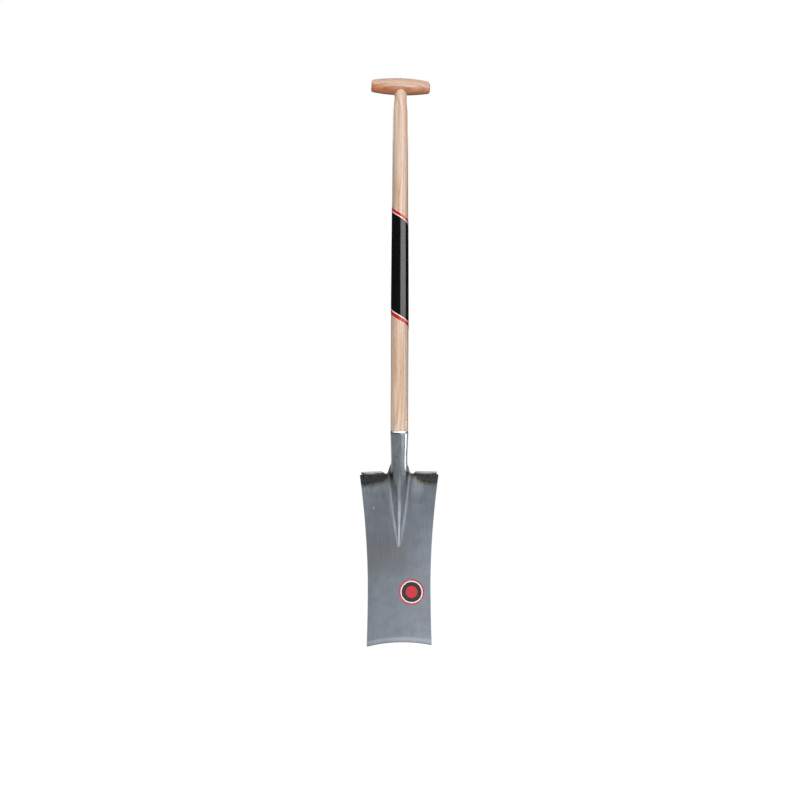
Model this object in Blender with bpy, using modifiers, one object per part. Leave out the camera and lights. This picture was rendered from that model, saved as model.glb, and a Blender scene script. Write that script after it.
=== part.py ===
"""Digging spade with a T-grip: a pressed steel blade with a rolled socket, two welded
foot treads, a turned ash shaft nailed into the socket and a barrel-shaped crossbar
wedged on its tenon.

The shaft stands along +Z on the origin, the cutting edge is at the bottom, and the
hollow working face of the blade looks towards -Y. Lengths are in metres, angles in degrees.
"""

import math

import bmesh
import bpy
from mathutils import Matrix, Vector

# Upright layout
BLADE_HEIGHT = 0.3457  # corners of the cutting edge to the shoulders
SOCKET_LENGTH = 0.0892  # shoulders to the rim of the socket
SHAFT_SHOWN = 0.688  # rim of the socket to the underside of the crossbar

# Blade sheet
SHEET = 0.0024
BLADE_TOP_WIDTH = 0.1620
BLADE_WAIST_WIDTH = 0.1285
BLADE_EDGE_WIDTH = 0.1328
BLADE_WAIST_HEIGHT = 0.117
SIDE_CURVE = 1.87  # power of the sweep from the waist to the corners
CORNER_RADIUS = 0.0025
DISH_RADIUS = 0.235
BLADE_LEAN = 3.0  # forwards, towards the cutting edge
BLADE_SET = 0.008  # working face behind the shaft's axis, at the shoulders
EDGE_ARCH = 0.0038  # rise of the cutting edge between its corners
GRIND_LENGTH = 0.011
GRIND_THICKNESS = 0.0007  # sheet left at the cutting edge

# Frog, the ridge that carries the socket down into the blade
FROG_LENGTH = 0.150
FROG_LEAD = 0.12  # share of its length over which the crest leaves the line of the socket
FROG_NOSE = 0.8  # power of its fall: under 1, it ends in a steep nose
FROG_REACH = 0.0270  # from the centre line to the end of its fillet, at the shoulders
FROG_TAPER = 0.7  # power of its narrowing towards the tip
CREST_RADIUS = 0.0034
CREST_FADE = 6.0  # how soon the round of the socket narrows to the crest
FOOT_RADIUS = 0.0100  # fillet between the frog and the blade, at the shoulders
FOOT_TIP_RADIUS = 0.0050

# Socket
SOCKET_RIM_DIAMETER = 0.0372
SOCKET_NECK_DIAMETER = 0.0328
NECK_STRAIGHT = 0.022
RIM_SWEEP = 1.6  # power of the sweep from the neck to the rim
RIM_CHAMFER = 0.0030  # height of the ground chamfer round the rim
RIM_THICKNESS = 0.0010  # sheet left at its top
SEAM_GAP = 0.0012
ARCH_HEIGHT = 0.040  # opening at the back, above the shoulders
FLARE_HEIGHT = 0.034
NOTCH_REACH = 0.0285  # from the centre line to the end of the fillet on the shoulder
NOTCH_DEPTH = 0.0065
NOTCH_HEIGHT = 0.0045

# Foot treads and their weld beads
TREAD_START = 0.0315  # from the centre line to the inner end
TREAD_MARGIN = 0.0040  # corner of the blade beyond its outer end
TREAD_DEPTH = 0.0175
TREAD_THICKNESS = 0.0046
TREAD_BEHIND = 0.0042  # how far a tread reaches behind the sheet
TREAD_CORNER = 0.005
TREAD_ROUNDING = 0.0016
TREAD_END_SLOPE = 0.0034  # the inner end slopes down to the shoulder
BACK_WELD_REACH = 0.0032  # out under the tread
BACK_WELD_DROP = 0.0032  # down the sheet
FRONT_WELD_REACH = 0.0042
FRONT_WELD_DROP = 0.0070
WELD_INSET = 0.003
WELD_RIPPLES = 9

# Ash shaft
SHAFT_DIAMETER = 0.0360
SHAFT_TOP_DIAMETER = 0.0315
SHAFT_NECK_DIAMETER = 0.0273
TAPER_START = 0.172  # above the rim of the socket
TAPER_END = 0.050  # below the underside of the crossbar
NECK_LENGTH = 0.036
SHAFT_FOOT_HEIGHT = 0.015  # end of the shaft above the shoulders
FOOT_CHAMFER = 0.002

# Crossbar, its tenon and the wedge
GRIP_LENGTH = 0.1205
GRIP_HEIGHT = 0.0348
GRIP_DEPTH = 0.0322
GRIP_END_HEIGHT = 0.0245
GRIP_END_ROUNDING = 0.0045
TENON_DIAMETER = 0.0210
WEDGE_DEPTH = 0.026
WEDGE_THICKNESS = 0.0034
WEDGE_TIP = 0.0014

# Nails through the socket into the shaft
NAIL_ANGLE = -22.0  # round from the front, towards the left
NAIL_UPPER_DROP = 0.0095  # below the rim
NAIL_LOWER_DROP = 0.0510
NAIL_HEAD_DIAMETER = 0.0052
NAIL_SHANK_DIAMETER = 0.0028
NAIL_LENGTH = 0.018
NAIL_CROWN = 0.0004

# Printed film round the shaft and round sticker on the blade
LABEL_HEIGHT = 0.2172
LABEL_MIDDLE = 0.3336  # above the rim of the socket
LABEL_DROP = 0.066  # slant of its ends in one turn
LABEL_FILM = 0.0003
LABEL_SEAM = 4.0
STICKER_DIAMETER = 0.0510
STICKER_RIGHT = 0.0257
STICKER_HEIGHT = 0.1055
STICKER_FILM = 0.0003

# Clearances and mesh fineness
FIT = 0.0003
FILM_FIT = 0.0002
ROUND_STEPS = 40
CENTRE_COLUMNS = 14
WING_COLUMNS = 5
CREASE = 35.0  # edges sharper than this aren't shaded smooth

# Heights that follow from the layout
SHOULDER = BLADE_HEIGHT
RIM = SHOULDER + SOCKET_LENGTH
GRIP_UNDERSIDE = RIM + SHAFT_SHOWN
GRIP_AXIS = GRIP_UNDERSIDE + GRIP_HEIGHT / 2
GRIP_TOP = GRIP_AXIS + GRIP_HEIGHT / 2
FROG_TIP = SHOULDER - FROG_LENGTH
FROG_RISE = SOCKET_NECK_DIAMETER / 2 + BLADE_SET  # front of the socket before the working face

FINISHES = {
    "forged_steel": ((0.21, 0.22, 0.25), 0.38, 1.0),
    "scaled_steel": ((0.045, 0.045, 0.05), 0.55, 1.0),
    "weld_steel": ((0.10, 0.09, 0.085), 0.50, 1.0),
    "lacquered_ash": ((0.68, 0.47, 0.32), 0.28, 0.0),
    "dark_ash": ((0.55, 0.27, 0.13), 0.30, 0.0),
    "beech_wedge": ((0.46, 0.20, 0.10), 0.45, 0.0),
    "nail_steel": ((0.12, 0.12, 0.13), 0.45, 1.0),
    "black_film": ((0.012, 0.012, 0.013), 0.18, 0.0),
    "red_paper": ((0.55, 0.04, 0.05), 0.30, 0.0),
}


def clear_scene():
    """Leaves nothing of the scene that Blender opened with."""
    for thing in list(bpy.data.objects):
        bpy.data.objects.remove(thing, do_unlink=True)


def new_collection(name):
    """A collection linked to the scene."""
    collection = bpy.data.collections.new(name)
    bpy.context.scene.collection.children.link(collection)
    return collection


def finish_of(name):
    """The Principled material called name, made the first time that it is asked for."""
    found = bpy.data.materials.get(name)
    if found:
        return found
    colour, roughness, metallic = FINISHES[name]
    made = bpy.data.materials.new(name)
    made.use_nodes = True
    shader = made.node_tree.nodes["Principled BSDF"]
    shader.inputs["Base Color"].default_value = (*colour, 1.0)
    shader.inputs["Roughness"].default_value = roughness
    shader.inputs["Metallic"].default_value = metallic
    made.diffuse_color = (*colour, 1.0)
    return made


def add_object(name, mesh, collection, finish=None):
    """An object round a mesh."""
    thing = bpy.data.objects.new(name, mesh)
    collection.objects.link(thing)
    if finish:
        mesh.materials.append(finish_of(finish))
    mesh.shade_smooth()
    return thing


def crease_group():
    """Geometry nodes that shade smooth every edge flatter than the crease angle."""
    group = bpy.data.node_groups.new("smooth by angle", "GeometryNodeTree")
    group.is_modifier = True
    for side in ("INPUT", "OUTPUT"):
        group.interface.new_socket("Geometry", in_out=side, socket_type="NodeSocketGeometry")
    taken = group.nodes.new("NodeGroupInput")
    given = group.nodes.new("NodeGroupOutput")
    angle = group.nodes.new("GeometryNodeInputMeshEdgeAngle")
    flat = group.nodes.new("FunctionNodeCompare")
    flat.operation = "LESS_EQUAL"
    flat.inputs["B"].default_value = math.radians(CREASE)
    faces = group.nodes.new("GeometryNodeSetShadeSmooth")
    edges = group.nodes.new("GeometryNodeSetShadeSmooth")
    edges.domain = "EDGE"
    group.links.new(taken.outputs["Geometry"], faces.inputs["Geometry"])
    group.links.new(faces.outputs["Geometry"], edges.inputs["Geometry"])
    group.links.new(angle.outputs["Unsigned Angle"], flat.inputs["A"])
    group.links.new(flat.outputs["Result"], edges.inputs["Shade Smooth"])
    group.links.new(edges.outputs["Geometry"], given.inputs["Geometry"])
    return group


def shade(thing, creases):
    """Smooth shading that keeps creases, with flat faces weighing more than narrow ones."""
    thing.modifiers.new("smooth by angle", "NODES").node_group = creases
    weighted = thing.modifiers.new("weighted normals", "WEIGHTED_NORMAL")
    weighted.keep_sharp = True


def as_cutter(thing):
    """Keeps a helper out of renders and shows it as wires."""
    thing.hide_render = True
    thing.display_type = "WIRE"
    return thing


def boolean(thing, operation, other):
    """An exact Boolean modifier on thing."""
    modifier = thing.modifiers.new(f"{operation.lower()} {other.name}", "BOOLEAN")
    modifier.operation = operation
    modifier.object = other
    modifier.solver = "EXACT"


def mesh_from(bm, name):
    """The mesh of a finished bmesh."""
    mesh = bpy.data.meshes.new(name)
    bm.to_mesh(mesh)
    bm.free()
    return mesh


def turned(name, profile, collection, finish=None):
    """A solid turned about Z: profile lists (radius, height) down its outer side."""
    bm = bmesh.new()
    verts = [bm.verts.new((radius, 0.0, height)) for radius, height in profile]
    for upper, lower in zip(verts, verts[1:]):
        bm.edges.new((upper, lower))
    thing = add_object(name, mesh_from(bm, name), collection, finish)
    screw = thing.modifiers.new("turned", "SCREW")
    screw.axis = "Z"
    screw.angle = math.tau
    screw.steps = ROUND_STEPS
    screw.render_steps = ROUND_STEPS
    screw.use_merge_vertices = True
    screw.merge_threshold = 0.00001
    screw.use_smooth_shade = True
    return thing


def with_modifiers_applied(thing):
    """Gives thing the mesh that its modifiers make, and takes them off."""
    graph = bpy.context.evaluated_depsgraph_get()
    made = bpy.data.meshes.new_from_object(thing.evaluated_get(graph))
    thing.modifiers.clear()
    thing.data = made
    return thing


def cylinder(name, diameter, bottom, top, collection):
    """An upright cylinder on the Z axis."""
    bm = bmesh.new()
    bmesh.ops.create_cone(
        bm,
        cap_ends=True,
        segments=ROUND_STEPS,
        radius1=diameter / 2,
        radius2=diameter / 2,
        depth=top - bottom,
        matrix=Matrix.Translation((0.0, 0.0, (bottom + top) / 2)),
    )
    return add_object(name, mesh_from(bm, name), collection)


def ease(share):
    """A smooth step from 0 to 1."""
    share = min(max(share, 0.0), 1.0)
    return share * share * (3 - 2 * share)


def spread(first, last, count, bias=1.0):
    """Heights from first to last, without first; a bias over 1 crowds them at first."""
    return [first + (last - first) * (i / count) ** bias for i in range(1, count + 1)]


def socket_radius(height):
    """Outer radius of the socket: a straight neck that sweeps open to the rim."""
    start = SHOULDER + NECK_STRAIGHT
    share = max(0.0, (height - start) / (RIM - start))
    neck, rim = SOCKET_NECK_DIAMETER / 2, SOCKET_RIM_DIAMETER / 2
    return neck + (rim - neck) * share**RIM_SWEEP


def half_width(height):
    """Half the blade's width, with its corners rounded."""
    waist = BLADE_WAIST_WIDTH / 2
    if height > BLADE_WAIST_HEIGHT:
        share = (height - BLADE_WAIST_HEIGHT) / (SHOULDER - BLADE_WAIST_HEIGHT)
        width = waist + (BLADE_TOP_WIDTH / 2 - waist) * share**SIDE_CURVE
    else:
        share = 1 - height / BLADE_WAIST_HEIGHT
        width = waist + (BLADE_EDGE_WIDTH / 2 - waist) * share**SIDE_CURVE
    inset = CORNER_RADIUS - min(height, SHOULDER - height, CORNER_RADIUS)
    return width - CORNER_RADIUS + math.sqrt(CORNER_RADIUS**2 - inset**2)


def sag(x):
    """How far the dish of the blade comes forward at x from the centre line."""
    return DISH_RADIUS - math.sqrt(DISH_RADIUS**2 - x**2)


def face_depth(height):
    """Y of the working face on the centre line, beside the frog."""
    return BLADE_SET - (SHOULDER - height) * math.tan(math.radians(BLADE_LEAN))


def crest_fall(share):
    """Share of its fall that the crest has made: upright at first, then down a straight slope."""
    upright = math.tan(math.radians(BLADE_LEAN)) * FROG_LENGTH / (FROG_RISE * FROG_NOSE)
    lead = min(share, FROG_LEAD)
    fall = upright * lead + (1 - upright) * lead * lead / (2 * FROG_LEAD) + share - lead
    whole = FROG_LEAD * (upright - 1) / 2 + 1
    return min(fall / whole, 1.0)


def frog_section(height):
    """(crest radius, foot radius, slope, side length, centre of the crest) of the frog."""
    share = min(max((SHOULDER - height) / FROG_LENGTH, 0.0), 1.0)
    fall = crest_fall(share)
    rise = FROG_RISE * (1 - fall) ** FROG_NOSE
    neck = socket_radius(height)
    crest = CREST_RADIUS + (neck - CREST_RADIUS) * (1 - fall) ** CREST_FADE
    foot = FOOT_RADIUS + (FOOT_TIP_RADIUS - FOOT_RADIUS) * share
    bends = crest + foot
    reach = FROG_REACH * (1 - share) ** FROG_TAPER
    spare = max(reach * reach - rise * (2 * bends - rise), 0.0)
    slope = 2 * math.atan2(rise, reach + math.sqrt(spare))
    slope = min(slope, math.acos(max(-1.0, 1 - rise / bends)))
    side = (rise - bends * (1 - math.cos(slope))) / max(math.sin(slope), 1e-6)
    depth = 0.0 if height >= SHOULDER else face_depth(height) - rise + crest
    return crest, foot, slope, max(side, 0.0), depth


def frog_half_width(height):
    """From the centre line to the outer end of the frog's foot."""
    crest, foot, slope, side, _ = frog_section(height)
    return (crest + foot) * math.sin(slope) + side * math.cos(slope)


def back_skin(height, length):
    """(x, y) on the back of the sheet, a length from the centre line along it."""
    crest, foot, slope, side, depth = frog_section(height)
    crest -= SHEET
    foot += SHEET
    if length <= crest * slope:
        return crest * math.sin(length / crest), depth - crest * math.cos(length / crest)
    x, y = crest * math.sin(slope), depth - crest * math.cos(slope)
    length -= crest * slope
    straight = min(length, side)
    x, y = x + straight * math.cos(slope), y + straight * math.sin(slope)
    length -= straight
    turn = slope - min(length / foot, slope)
    x += foot * (math.sin(slope) - math.sin(turn))
    y += foot * (math.cos(turn) - math.cos(slope))
    return x + max(length - foot * slope, 0.0), y


def centre_strip_length(height):
    """Length along the back skin of the strip that holds the frog, below the shoulders."""
    crest, foot, slope, side, _ = frog_section(height)
    margin = NOTCH_REACH - frog_half_width(SHOULDER)
    below_tip = max(0.0, 1 - height / FROG_TIP)
    return (crest + foot) * slope + side + margin + BLADE_WAIST_WIDTH / 6 * below_tip


def neck_strip_length(height):
    """Length along the back skin from the centre line to the free edge, above the shoulders."""
    start = centre_strip_length(SHOULDER)
    closed = math.pi * (socket_radius(height) - SHEET) - SEAM_GAP / 2
    if height >= SHOULDER + ARCH_HEIGHT:
        return closed
    rise = min((height - SHOULDER) / NOTCH_HEIGHT, 1.0)
    notched = start - NOTCH_DEPTH * math.sqrt(1 - (1 - rise) ** 2)
    up = (height - SHOULDER) / ARCH_HEIGHT
    return notched + (closed - start + NOTCH_DEPTH) * (1 - math.sqrt(1 - up * up))


def strip_point(height, share):
    """(x, y) on the back skin of the strip that holds the frog and the socket."""
    if height < SHOULDER:
        x, y = back_skin(height, share * centre_strip_length(height))
        return x, y - sag(x)
    length = share * neck_strip_length(height)
    open_x, open_y = back_skin(height, length)
    round_radius = socket_radius(height) - SHEET
    closed_x = round_radius * math.sin(length / round_radius)
    closed_y = -round_radius * math.cos(length / round_radius)
    closing = ease((height - SHOULDER) / FLARE_HEIGHT)
    open_y -= sag(open_x)
    return open_x + (closed_x - open_x) * closing, open_y + (closed_y - open_y) * closing


def blade_rows():
    """Heights of the rows of the sheet: (rows up to the shoulders, rows above them)."""
    rows = [0.0] + spread(0.0, CORNER_RADIUS, 2) + spread(CORNER_RADIUS, GRIND_LENGTH, 2)
    rows += spread(GRIND_LENGTH, FROG_TIP - CREST_RADIUS, 7)
    rows += spread(FROG_TIP - CREST_RADIUS, FROG_TIP, 1)
    rows += spread(FROG_TIP, SHOULDER - CORNER_RADIUS, 15, 1.1)
    rows += [SHOULDER - CORNER_RADIUS * 0.3, SHOULDER]
    turns = spread(0.0, math.pi / 2, 4)
    above = [SHOULDER + NOTCH_HEIGHT * (1 - math.cos(turn)) for turn in turns]
    turns = spread(math.asin(NOTCH_HEIGHT / ARCH_HEIGHT), math.pi / 2, 11)
    above += [SHOULDER + ARCH_HEIGHT * math.sin(turn) for turn in turns]
    above += spread(SHOULDER + ARCH_HEIGHT, RIM - RIM_CHAMFER, 4) + [RIM]
    return rows, above


def sheet_share(height):
    """Share of the sheet's thickness at a height: it is ground at the edge and round the rim."""
    edge = GRIND_THICKNESS + (SHEET - GRIND_THICKNESS) * height / GRIND_LENGTH
    rim = RIM_THICKNESS + (SHEET - RIM_THICKNESS) * (RIM - height) / RIM_CHAMFER
    return min(edge, rim, SHEET) / SHEET


def sheet_point(height, column):
    """A point on the back skin; columns past the centre strip lie on the wing."""
    side = -1.0 if column < 0 else 1.0
    column = abs(column)
    if column <= CENTRE_COLUMNS:
        x, y = strip_point(height, column / CENTRE_COLUMNS)
    else:
        inner, _ = strip_point(height, 1.0)
        share = (column - CENTRE_COLUMNS) / WING_COLUMNS
        x = inner + (half_width(height) - inner) * share
        y = face_depth(height) + SHEET - sag(x)
    low = max(0.0, 1 - height / BLADE_WAIST_HEIGHT)
    arch = EDGE_ARCH * (1 - (x / half_width(0.0)) ** 2) * low * low
    return Vector((side * x, y, height + (arch if height < BLADE_WAIST_HEIGHT else 0.0)))


def make_blade(collection, cutters):
    """The one-piece blade: dished sheet, frog, flared neck and rolled socket."""
    rows, above = blade_rows()
    widest = CENTRE_COLUMNS + WING_COLUMNS
    bm = bmesh.new()
    shares = []
    grid = []
    for height in rows + above:
        reach = widest if height <= SHOULDER else CENTRE_COLUMNS
        columns = range(-reach, reach + 1)
        grid.append({column: bm.verts.new(sheet_point(height, column)) for column in columns})
        shares += [sheet_share(height)] * len(columns)
    for lower, upper in zip(grid, grid[1:]):
        for column in range(-widest, widest):
            if column in upper and column + 1 in upper:
                corners = (lower[column], lower[column + 1], upper[column + 1], upper[column])
                bm.faces.new(corners)
    blade = add_object("blade", mesh_from(bm, "blade"), collection, "forged_steel")
    group = blade.vertex_groups.new(name="sheet thickness")
    for index, share in enumerate(shares):
        group.add([index], share, "REPLACE")
    wall = blade.modifiers.new("sheet", "SOLIDIFY")
    wall.thickness = SHEET
    wall.offset = 1.0
    wall.use_even_offset = True
    wall.use_quality_normals = True
    wall.vertex_group = group.name
    for name, height in nail_heights().items():
        hole = cylinder(f"{name} hole", NAIL_HEAD_DIAMETER + 2 * FIT, 0.0, SHEET * 4, cutters)
        hole.matrix_world = nail_place(height) @ Matrix.Translation((0.0, 0.0, -SHEET * 2))
        boolean(blade, "DIFFERENCE", as_cutter(hole))
    return blade


def nail_heights():
    """Height of each nail by its name."""
    return {"socket_nail_upper": RIM - NAIL_UPPER_DROP, "socket_nail_lower": RIM - NAIL_LOWER_DROP}


def nail_place(height):
    """Frame of a nail: origin on the outside of the socket, +Z pointing out of it."""
    outward = Matrix.Rotation(math.radians(90), 4, "X")
    turn = Matrix.Rotation(math.radians(NAIL_ANGLE), 4, "Z")
    out = turn @ Vector((0.0, -socket_radius(height), 0.0))
    return Matrix.Translation((out.x, out.y, height)) @ turn @ outward


def make_nail(name, height, collection):
    """A nail with a low crowned head that fills the hole in the sheet."""
    head = NAIL_HEAD_DIAMETER / 2
    seat = -SHEET
    profile = [(head * i / 3, NAIL_CROWN * (1 - (i / 3) ** 2)) for i in range(4)]
    profile += [(head, seat), (NAIL_SHANK_DIAMETER / 2, seat)]
    profile += [(NAIL_SHANK_DIAMETER / 2, NAIL_SHANK_DIAMETER - NAIL_LENGTH), (0.0, -NAIL_LENGTH)]
    nail = turned(name, profile, collection, "nail_steel")
    nail.modifiers["turned"].steps = ROUND_STEPS // 2
    nail.modifiers["turned"].render_steps = ROUND_STEPS // 2
    nail.matrix_world = nail_place(height)
    return nail


def tread_span():
    """(middle, slope, length) of a tread: X of its middle, and its slope and length there."""
    across = BLADE_TOP_WIDTH / 2 - TREAD_MARGIN - TREAD_START
    middle = TREAD_START + across / 2
    slope = math.asin(middle / DISH_RADIUS)
    return middle, slope, across / math.cos(slope)


def tread_frame(side):
    """Frame on the shoulder at a tread's middle: X runs outwards along the dished edge."""
    x, slope, _ = tread_span()
    y = BLADE_SET + SHEET - sag(x)
    turn = Matrix.Rotation(-side * slope, 4, "Z")
    return Matrix.Translation((side * x, y, SHOULDER)) @ turn


def edges_on(bm, **planes):
    """Edges whose both ends lie on every plane named, such as z=0.01."""
    found = []
    for edge in bm.edges:
        ends = [vert.co for vert in edge.verts]
        if all(abs(getattr(end, axis) - at) < 1e-6 for axis, at in planes.items() for end in ends):
            found.append(edge)
    return found


def make_tread(name, side, collection):
    """A steel plate on the shoulder: rounded front corners and top edges, a sloping inner end."""
    back = TREAD_BEHIND
    length = tread_span()[2]
    bm = bmesh.new()
    size = Matrix.Diagonal((length, TREAD_DEPTH, TREAD_THICKNESS, 1.0))
    middle = Matrix.Translation((0.0, back - TREAD_DEPTH / 2, FIT + TREAD_THICKNESS / 2))
    bmesh.ops.create_cube(bm, size=1.0, matrix=middle @ size)
    inner = -side * length / 2
    top = FIT + TREAD_THICKNESS
    end = edges_on(bm, x=inner, z=top)
    bmesh.ops.bevel(bm, geom=end, offset=TREAD_END_SLOPE, segments=1, affect="EDGES")
    corners = edges_on(bm, x=-inner, y=back - TREAD_DEPTH)
    bmesh.ops.bevel(bm, geom=corners, offset=TREAD_CORNER, segments=4, profile=0.5, affect="EDGES")
    rim = edges_on(bm, z=top)
    bmesh.ops.bevel(bm, geom=rim, offset=TREAD_ROUNDING, segments=3, profile=0.5, affect="EDGES")
    tread = add_object(name, mesh_from(bm, name), collection, "scaled_steel")
    tread.matrix_world = tread_frame(side)
    return tread


def make_weld(name, side, in_front, collection):
    """A rippled fillet bead in the corner under the tread, in front of the sheet or behind it."""
    length = tread_span()[2] - 2 * WELD_INSET
    stations = 2 * WELD_RIPPLES
    skin = -SHEET - FIT if in_front else FIT
    reach = -FRONT_WELD_REACH if in_front else BACK_WELD_REACH
    drop = FRONT_WELD_DROP if in_front else BACK_WELD_DROP
    lean = math.tan(math.radians(BLADE_LEAN))
    bm = bmesh.new()
    sections = []
    for station in range(stations + 1):
        x = length * (station / stations - 0.5)
        end = math.sin(math.pi * min(station + 1, stations - station + 1, 3) / 6)
        size = end * (1.0 if station % 2 else 0.88)
        # The sheet is dished, so the corner drifts from the straight line of the tread.
        corner = skin - sag(x)
        fan = []
        for step in range(5):
            angle = math.radians(90 * step / 4)
            down = drop * size * math.cos(angle)
            fan.append((x, corner + reach * size * math.sin(angle) - down * lean, -down))
        sections.append([bm.verts.new(point) for point in [(x, corner, 0.0)] + fan])
    for first, second in zip(sections, sections[1:]):
        for i in range(len(first)):
            j = (i + 1) % len(first)
            bm.faces.new((first[i], first[j], second[j], second[i]))
    bm.faces.new(list(reversed(sections[0])))
    bm.faces.new(sections[-1])
    bmesh.ops.recalc_face_normals(bm, faces=bm.faces)
    weld = add_object(name, mesh_from(bm, name), collection, "weld_steel")
    weld.matrix_world = tread_frame(side)
    return weld


def shaft_radius(height):
    """Radius of the shaft above the socket: straight, tapered, then necked at the top."""
    start, end = RIM + TAPER_START, GRIP_UNDERSIDE - TAPER_END
    taper = ease((height - start) / (end - start))
    radius = SHAFT_DIAMETER / 2 + (SHAFT_TOP_DIAMETER - SHAFT_DIAMETER) / 2 * taper
    neck = ease((height - (GRIP_UNDERSIDE - NECK_LENGTH)) / NECK_LENGTH)
    return radius + (SHAFT_NECK_DIAMETER - SHAFT_TOP_DIAMETER) / 2 * neck


def shaft_profile():
    """Outline of the shaft's body from the crossbar's axis down to its end in the socket."""
    heights = spread(GRIP_AXIS, GRIP_UNDERSIDE, 1)
    heights += spread(GRIP_UNDERSIDE, GRIP_UNDERSIDE - NECK_LENGTH, 7)
    taper_top, taper_end = GRIP_UNDERSIDE - TAPER_END, RIM + TAPER_START
    heights += [taper_top] + spread(taper_top, taper_end, 7) + [RIM + FIT]
    profile = [(0.0, GRIP_AXIS), (shaft_radius(GRIP_AXIS), GRIP_AXIS)]
    profile += [(shaft_radius(height), height) for height in heights]
    foot = SHOULDER + SHAFT_FOOT_HEIGHT
    inside = [RIM + FIT] + spread(RIM + FIT, foot + FOOT_CHAMFER, 5)
    profile += [(socket_radius(height) - SHEET - FIT, height) for height in inside]
    profile += [(socket_radius(foot) - SHEET - FIT - FOOT_CHAMFER, foot), (0.0, foot)]
    return profile


def grip_body(name, extra, collection, finish=None):
    """The oval crossbar on its axis along X, its surface moved out by extra."""
    half = GRIP_LENGTH / 2
    rounding = GRIP_END_ROUNDING

    def barrel(along):
        drop = (GRIP_HEIGHT - GRIP_END_HEIGHT) / 2 * (along / half) ** 2
        return GRIP_HEIGHT / 2 - drop

    shoulder = half - rounding
    end = []
    for step in range(5):
        angle = math.radians(90 * step / 4)
        radius = barrel(shoulder) - rounding * (1 - math.sin(angle))
        end.append((radius + extra, shoulder + rounding * math.cos(angle) + extra))
    side = [(barrel(a) + extra, a) for a in spread(shoulder, -shoulder, 12)[:-1]]
    profile = [(0.0, half + extra)] + end + side
    profile += [(radius, -along) for radius, along in reversed(end)] + [(0.0, -half - extra)]
    thing = with_modifiers_applied(turned(name, profile, collection, finish))
    flatten = (GRIP_DEPTH + 2 * extra) / (GRIP_HEIGHT + 2 * extra)
    lie_down = Matrix.Rotation(math.radians(90), 4, "Y")
    thing.data.transform(Matrix.Diagonal((1.0, flatten, 1.0, 1.0)) @ lie_down)
    thing.location = (0.0, 0.0, GRIP_AXIS)
    return thing


def flush_cutter(cutters):
    """Everything above the crossbar's crown, so that what stands in it ends flush."""
    sky = bmesh.new()
    size = Matrix.Diagonal((TENON_DIAMETER * 2, GRIP_DEPTH * 2, GRIP_HEIGHT * 2, 1.0))
    middle = Matrix.Translation((0.0, 0.0, GRIP_AXIS + GRIP_HEIGHT))
    bmesh.ops.create_cube(sky, size=1.0, matrix=middle @ size)
    cutter = add_object("above the crown", mesh_from(sky, "above the crown"), cutters)
    boolean(cutter, "DIFFERENCE", as_cutter(grip_body("crown", 0.0, cutters)))
    return as_cutter(cutter)


def wedge_body(name, extra, collection, finish=None):
    """The wedge across the tenon, thick at the top, its faces moved out by extra."""
    bottom = GRIP_TOP - WEDGE_DEPTH - extra
    top = GRIP_TOP + WEDGE_THICKNESS
    bm = bmesh.new()
    size = Matrix.Diagonal((1.0, GRIP_DEPTH, top - bottom, 1.0))
    middle = Matrix.Translation((0.0, 0.0, (top + bottom) / 2))
    bmesh.ops.create_cube(bm, size=1.0, matrix=middle @ size)
    for vert in bm.verts:
        thick = WEDGE_THICKNESS if vert.co.z > (top + bottom) / 2 else WEDGE_TIP
        vert.co.x = math.copysign(thick / 2 + extra, vert.co.x)
    return add_object(name, mesh_from(bm, name), collection, finish)


def make_shaft(collection, cutters, crown):
    """The ash shaft: coped round the crossbar, with a tenon through it and a foot in the socket."""
    shaft = turned("shaft", shaft_profile(), collection, "lacquered_ash")
    boolean(shaft, "DIFFERENCE", as_cutter(grip_body("cope", FIT, cutters)))
    tenon = cylinder("tenon", TENON_DIAMETER, GRIP_UNDERSIDE - NECK_LENGTH, GRIP_TOP + FIT, cutters)
    boolean(shaft, "UNION", as_cutter(tenon))
    boolean(shaft, "DIFFERENCE", crown)
    boolean(shaft, "DIFFERENCE", as_cutter(wedge_body("wedge slot", FIT, cutters)))
    for name, height in nail_heights().items():
        across = NAIL_SHANK_DIAMETER + 2 * FIT
        bore = cylinder(f"{name} bore", across, -NAIL_LENGTH - FIT, SHEET, cutters)
        bore.matrix_world = nail_place(height)
        boolean(shaft, "DIFFERENCE", as_cutter(bore))
    return shaft


def make_grip(collection, cutters):
    """The crossbar with the round mortise for the tenon."""
    grip = grip_body("grip_crossbar", 0.0, collection, "dark_ash")
    bottom, top = GRIP_AXIS - GRIP_HEIGHT, GRIP_AXIS + GRIP_HEIGHT
    mortise = cylinder("mortise", TENON_DIAMETER + 2 * FIT, bottom, top, cutters)
    boolean(grip, "DIFFERENCE", as_cutter(mortise))
    return grip


def make_wedge(collection, cutters, crown):
    """The wedge that spreads the tenon, trimmed to its round sides and flush with the crown."""
    wedge = wedge_body("tenon_wedge", 0.0, collection, "beech_wedge")
    bottom, top = GRIP_AXIS - GRIP_HEIGHT, GRIP_AXIS + GRIP_HEIGHT
    sides = cylinder("sides of the wedge", TENON_DIAMETER, bottom, top, cutters)
    boolean(wedge, "INTERSECT", as_cutter(sides))
    boolean(wedge, "DIFFERENCE", crown)
    return wedge


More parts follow.
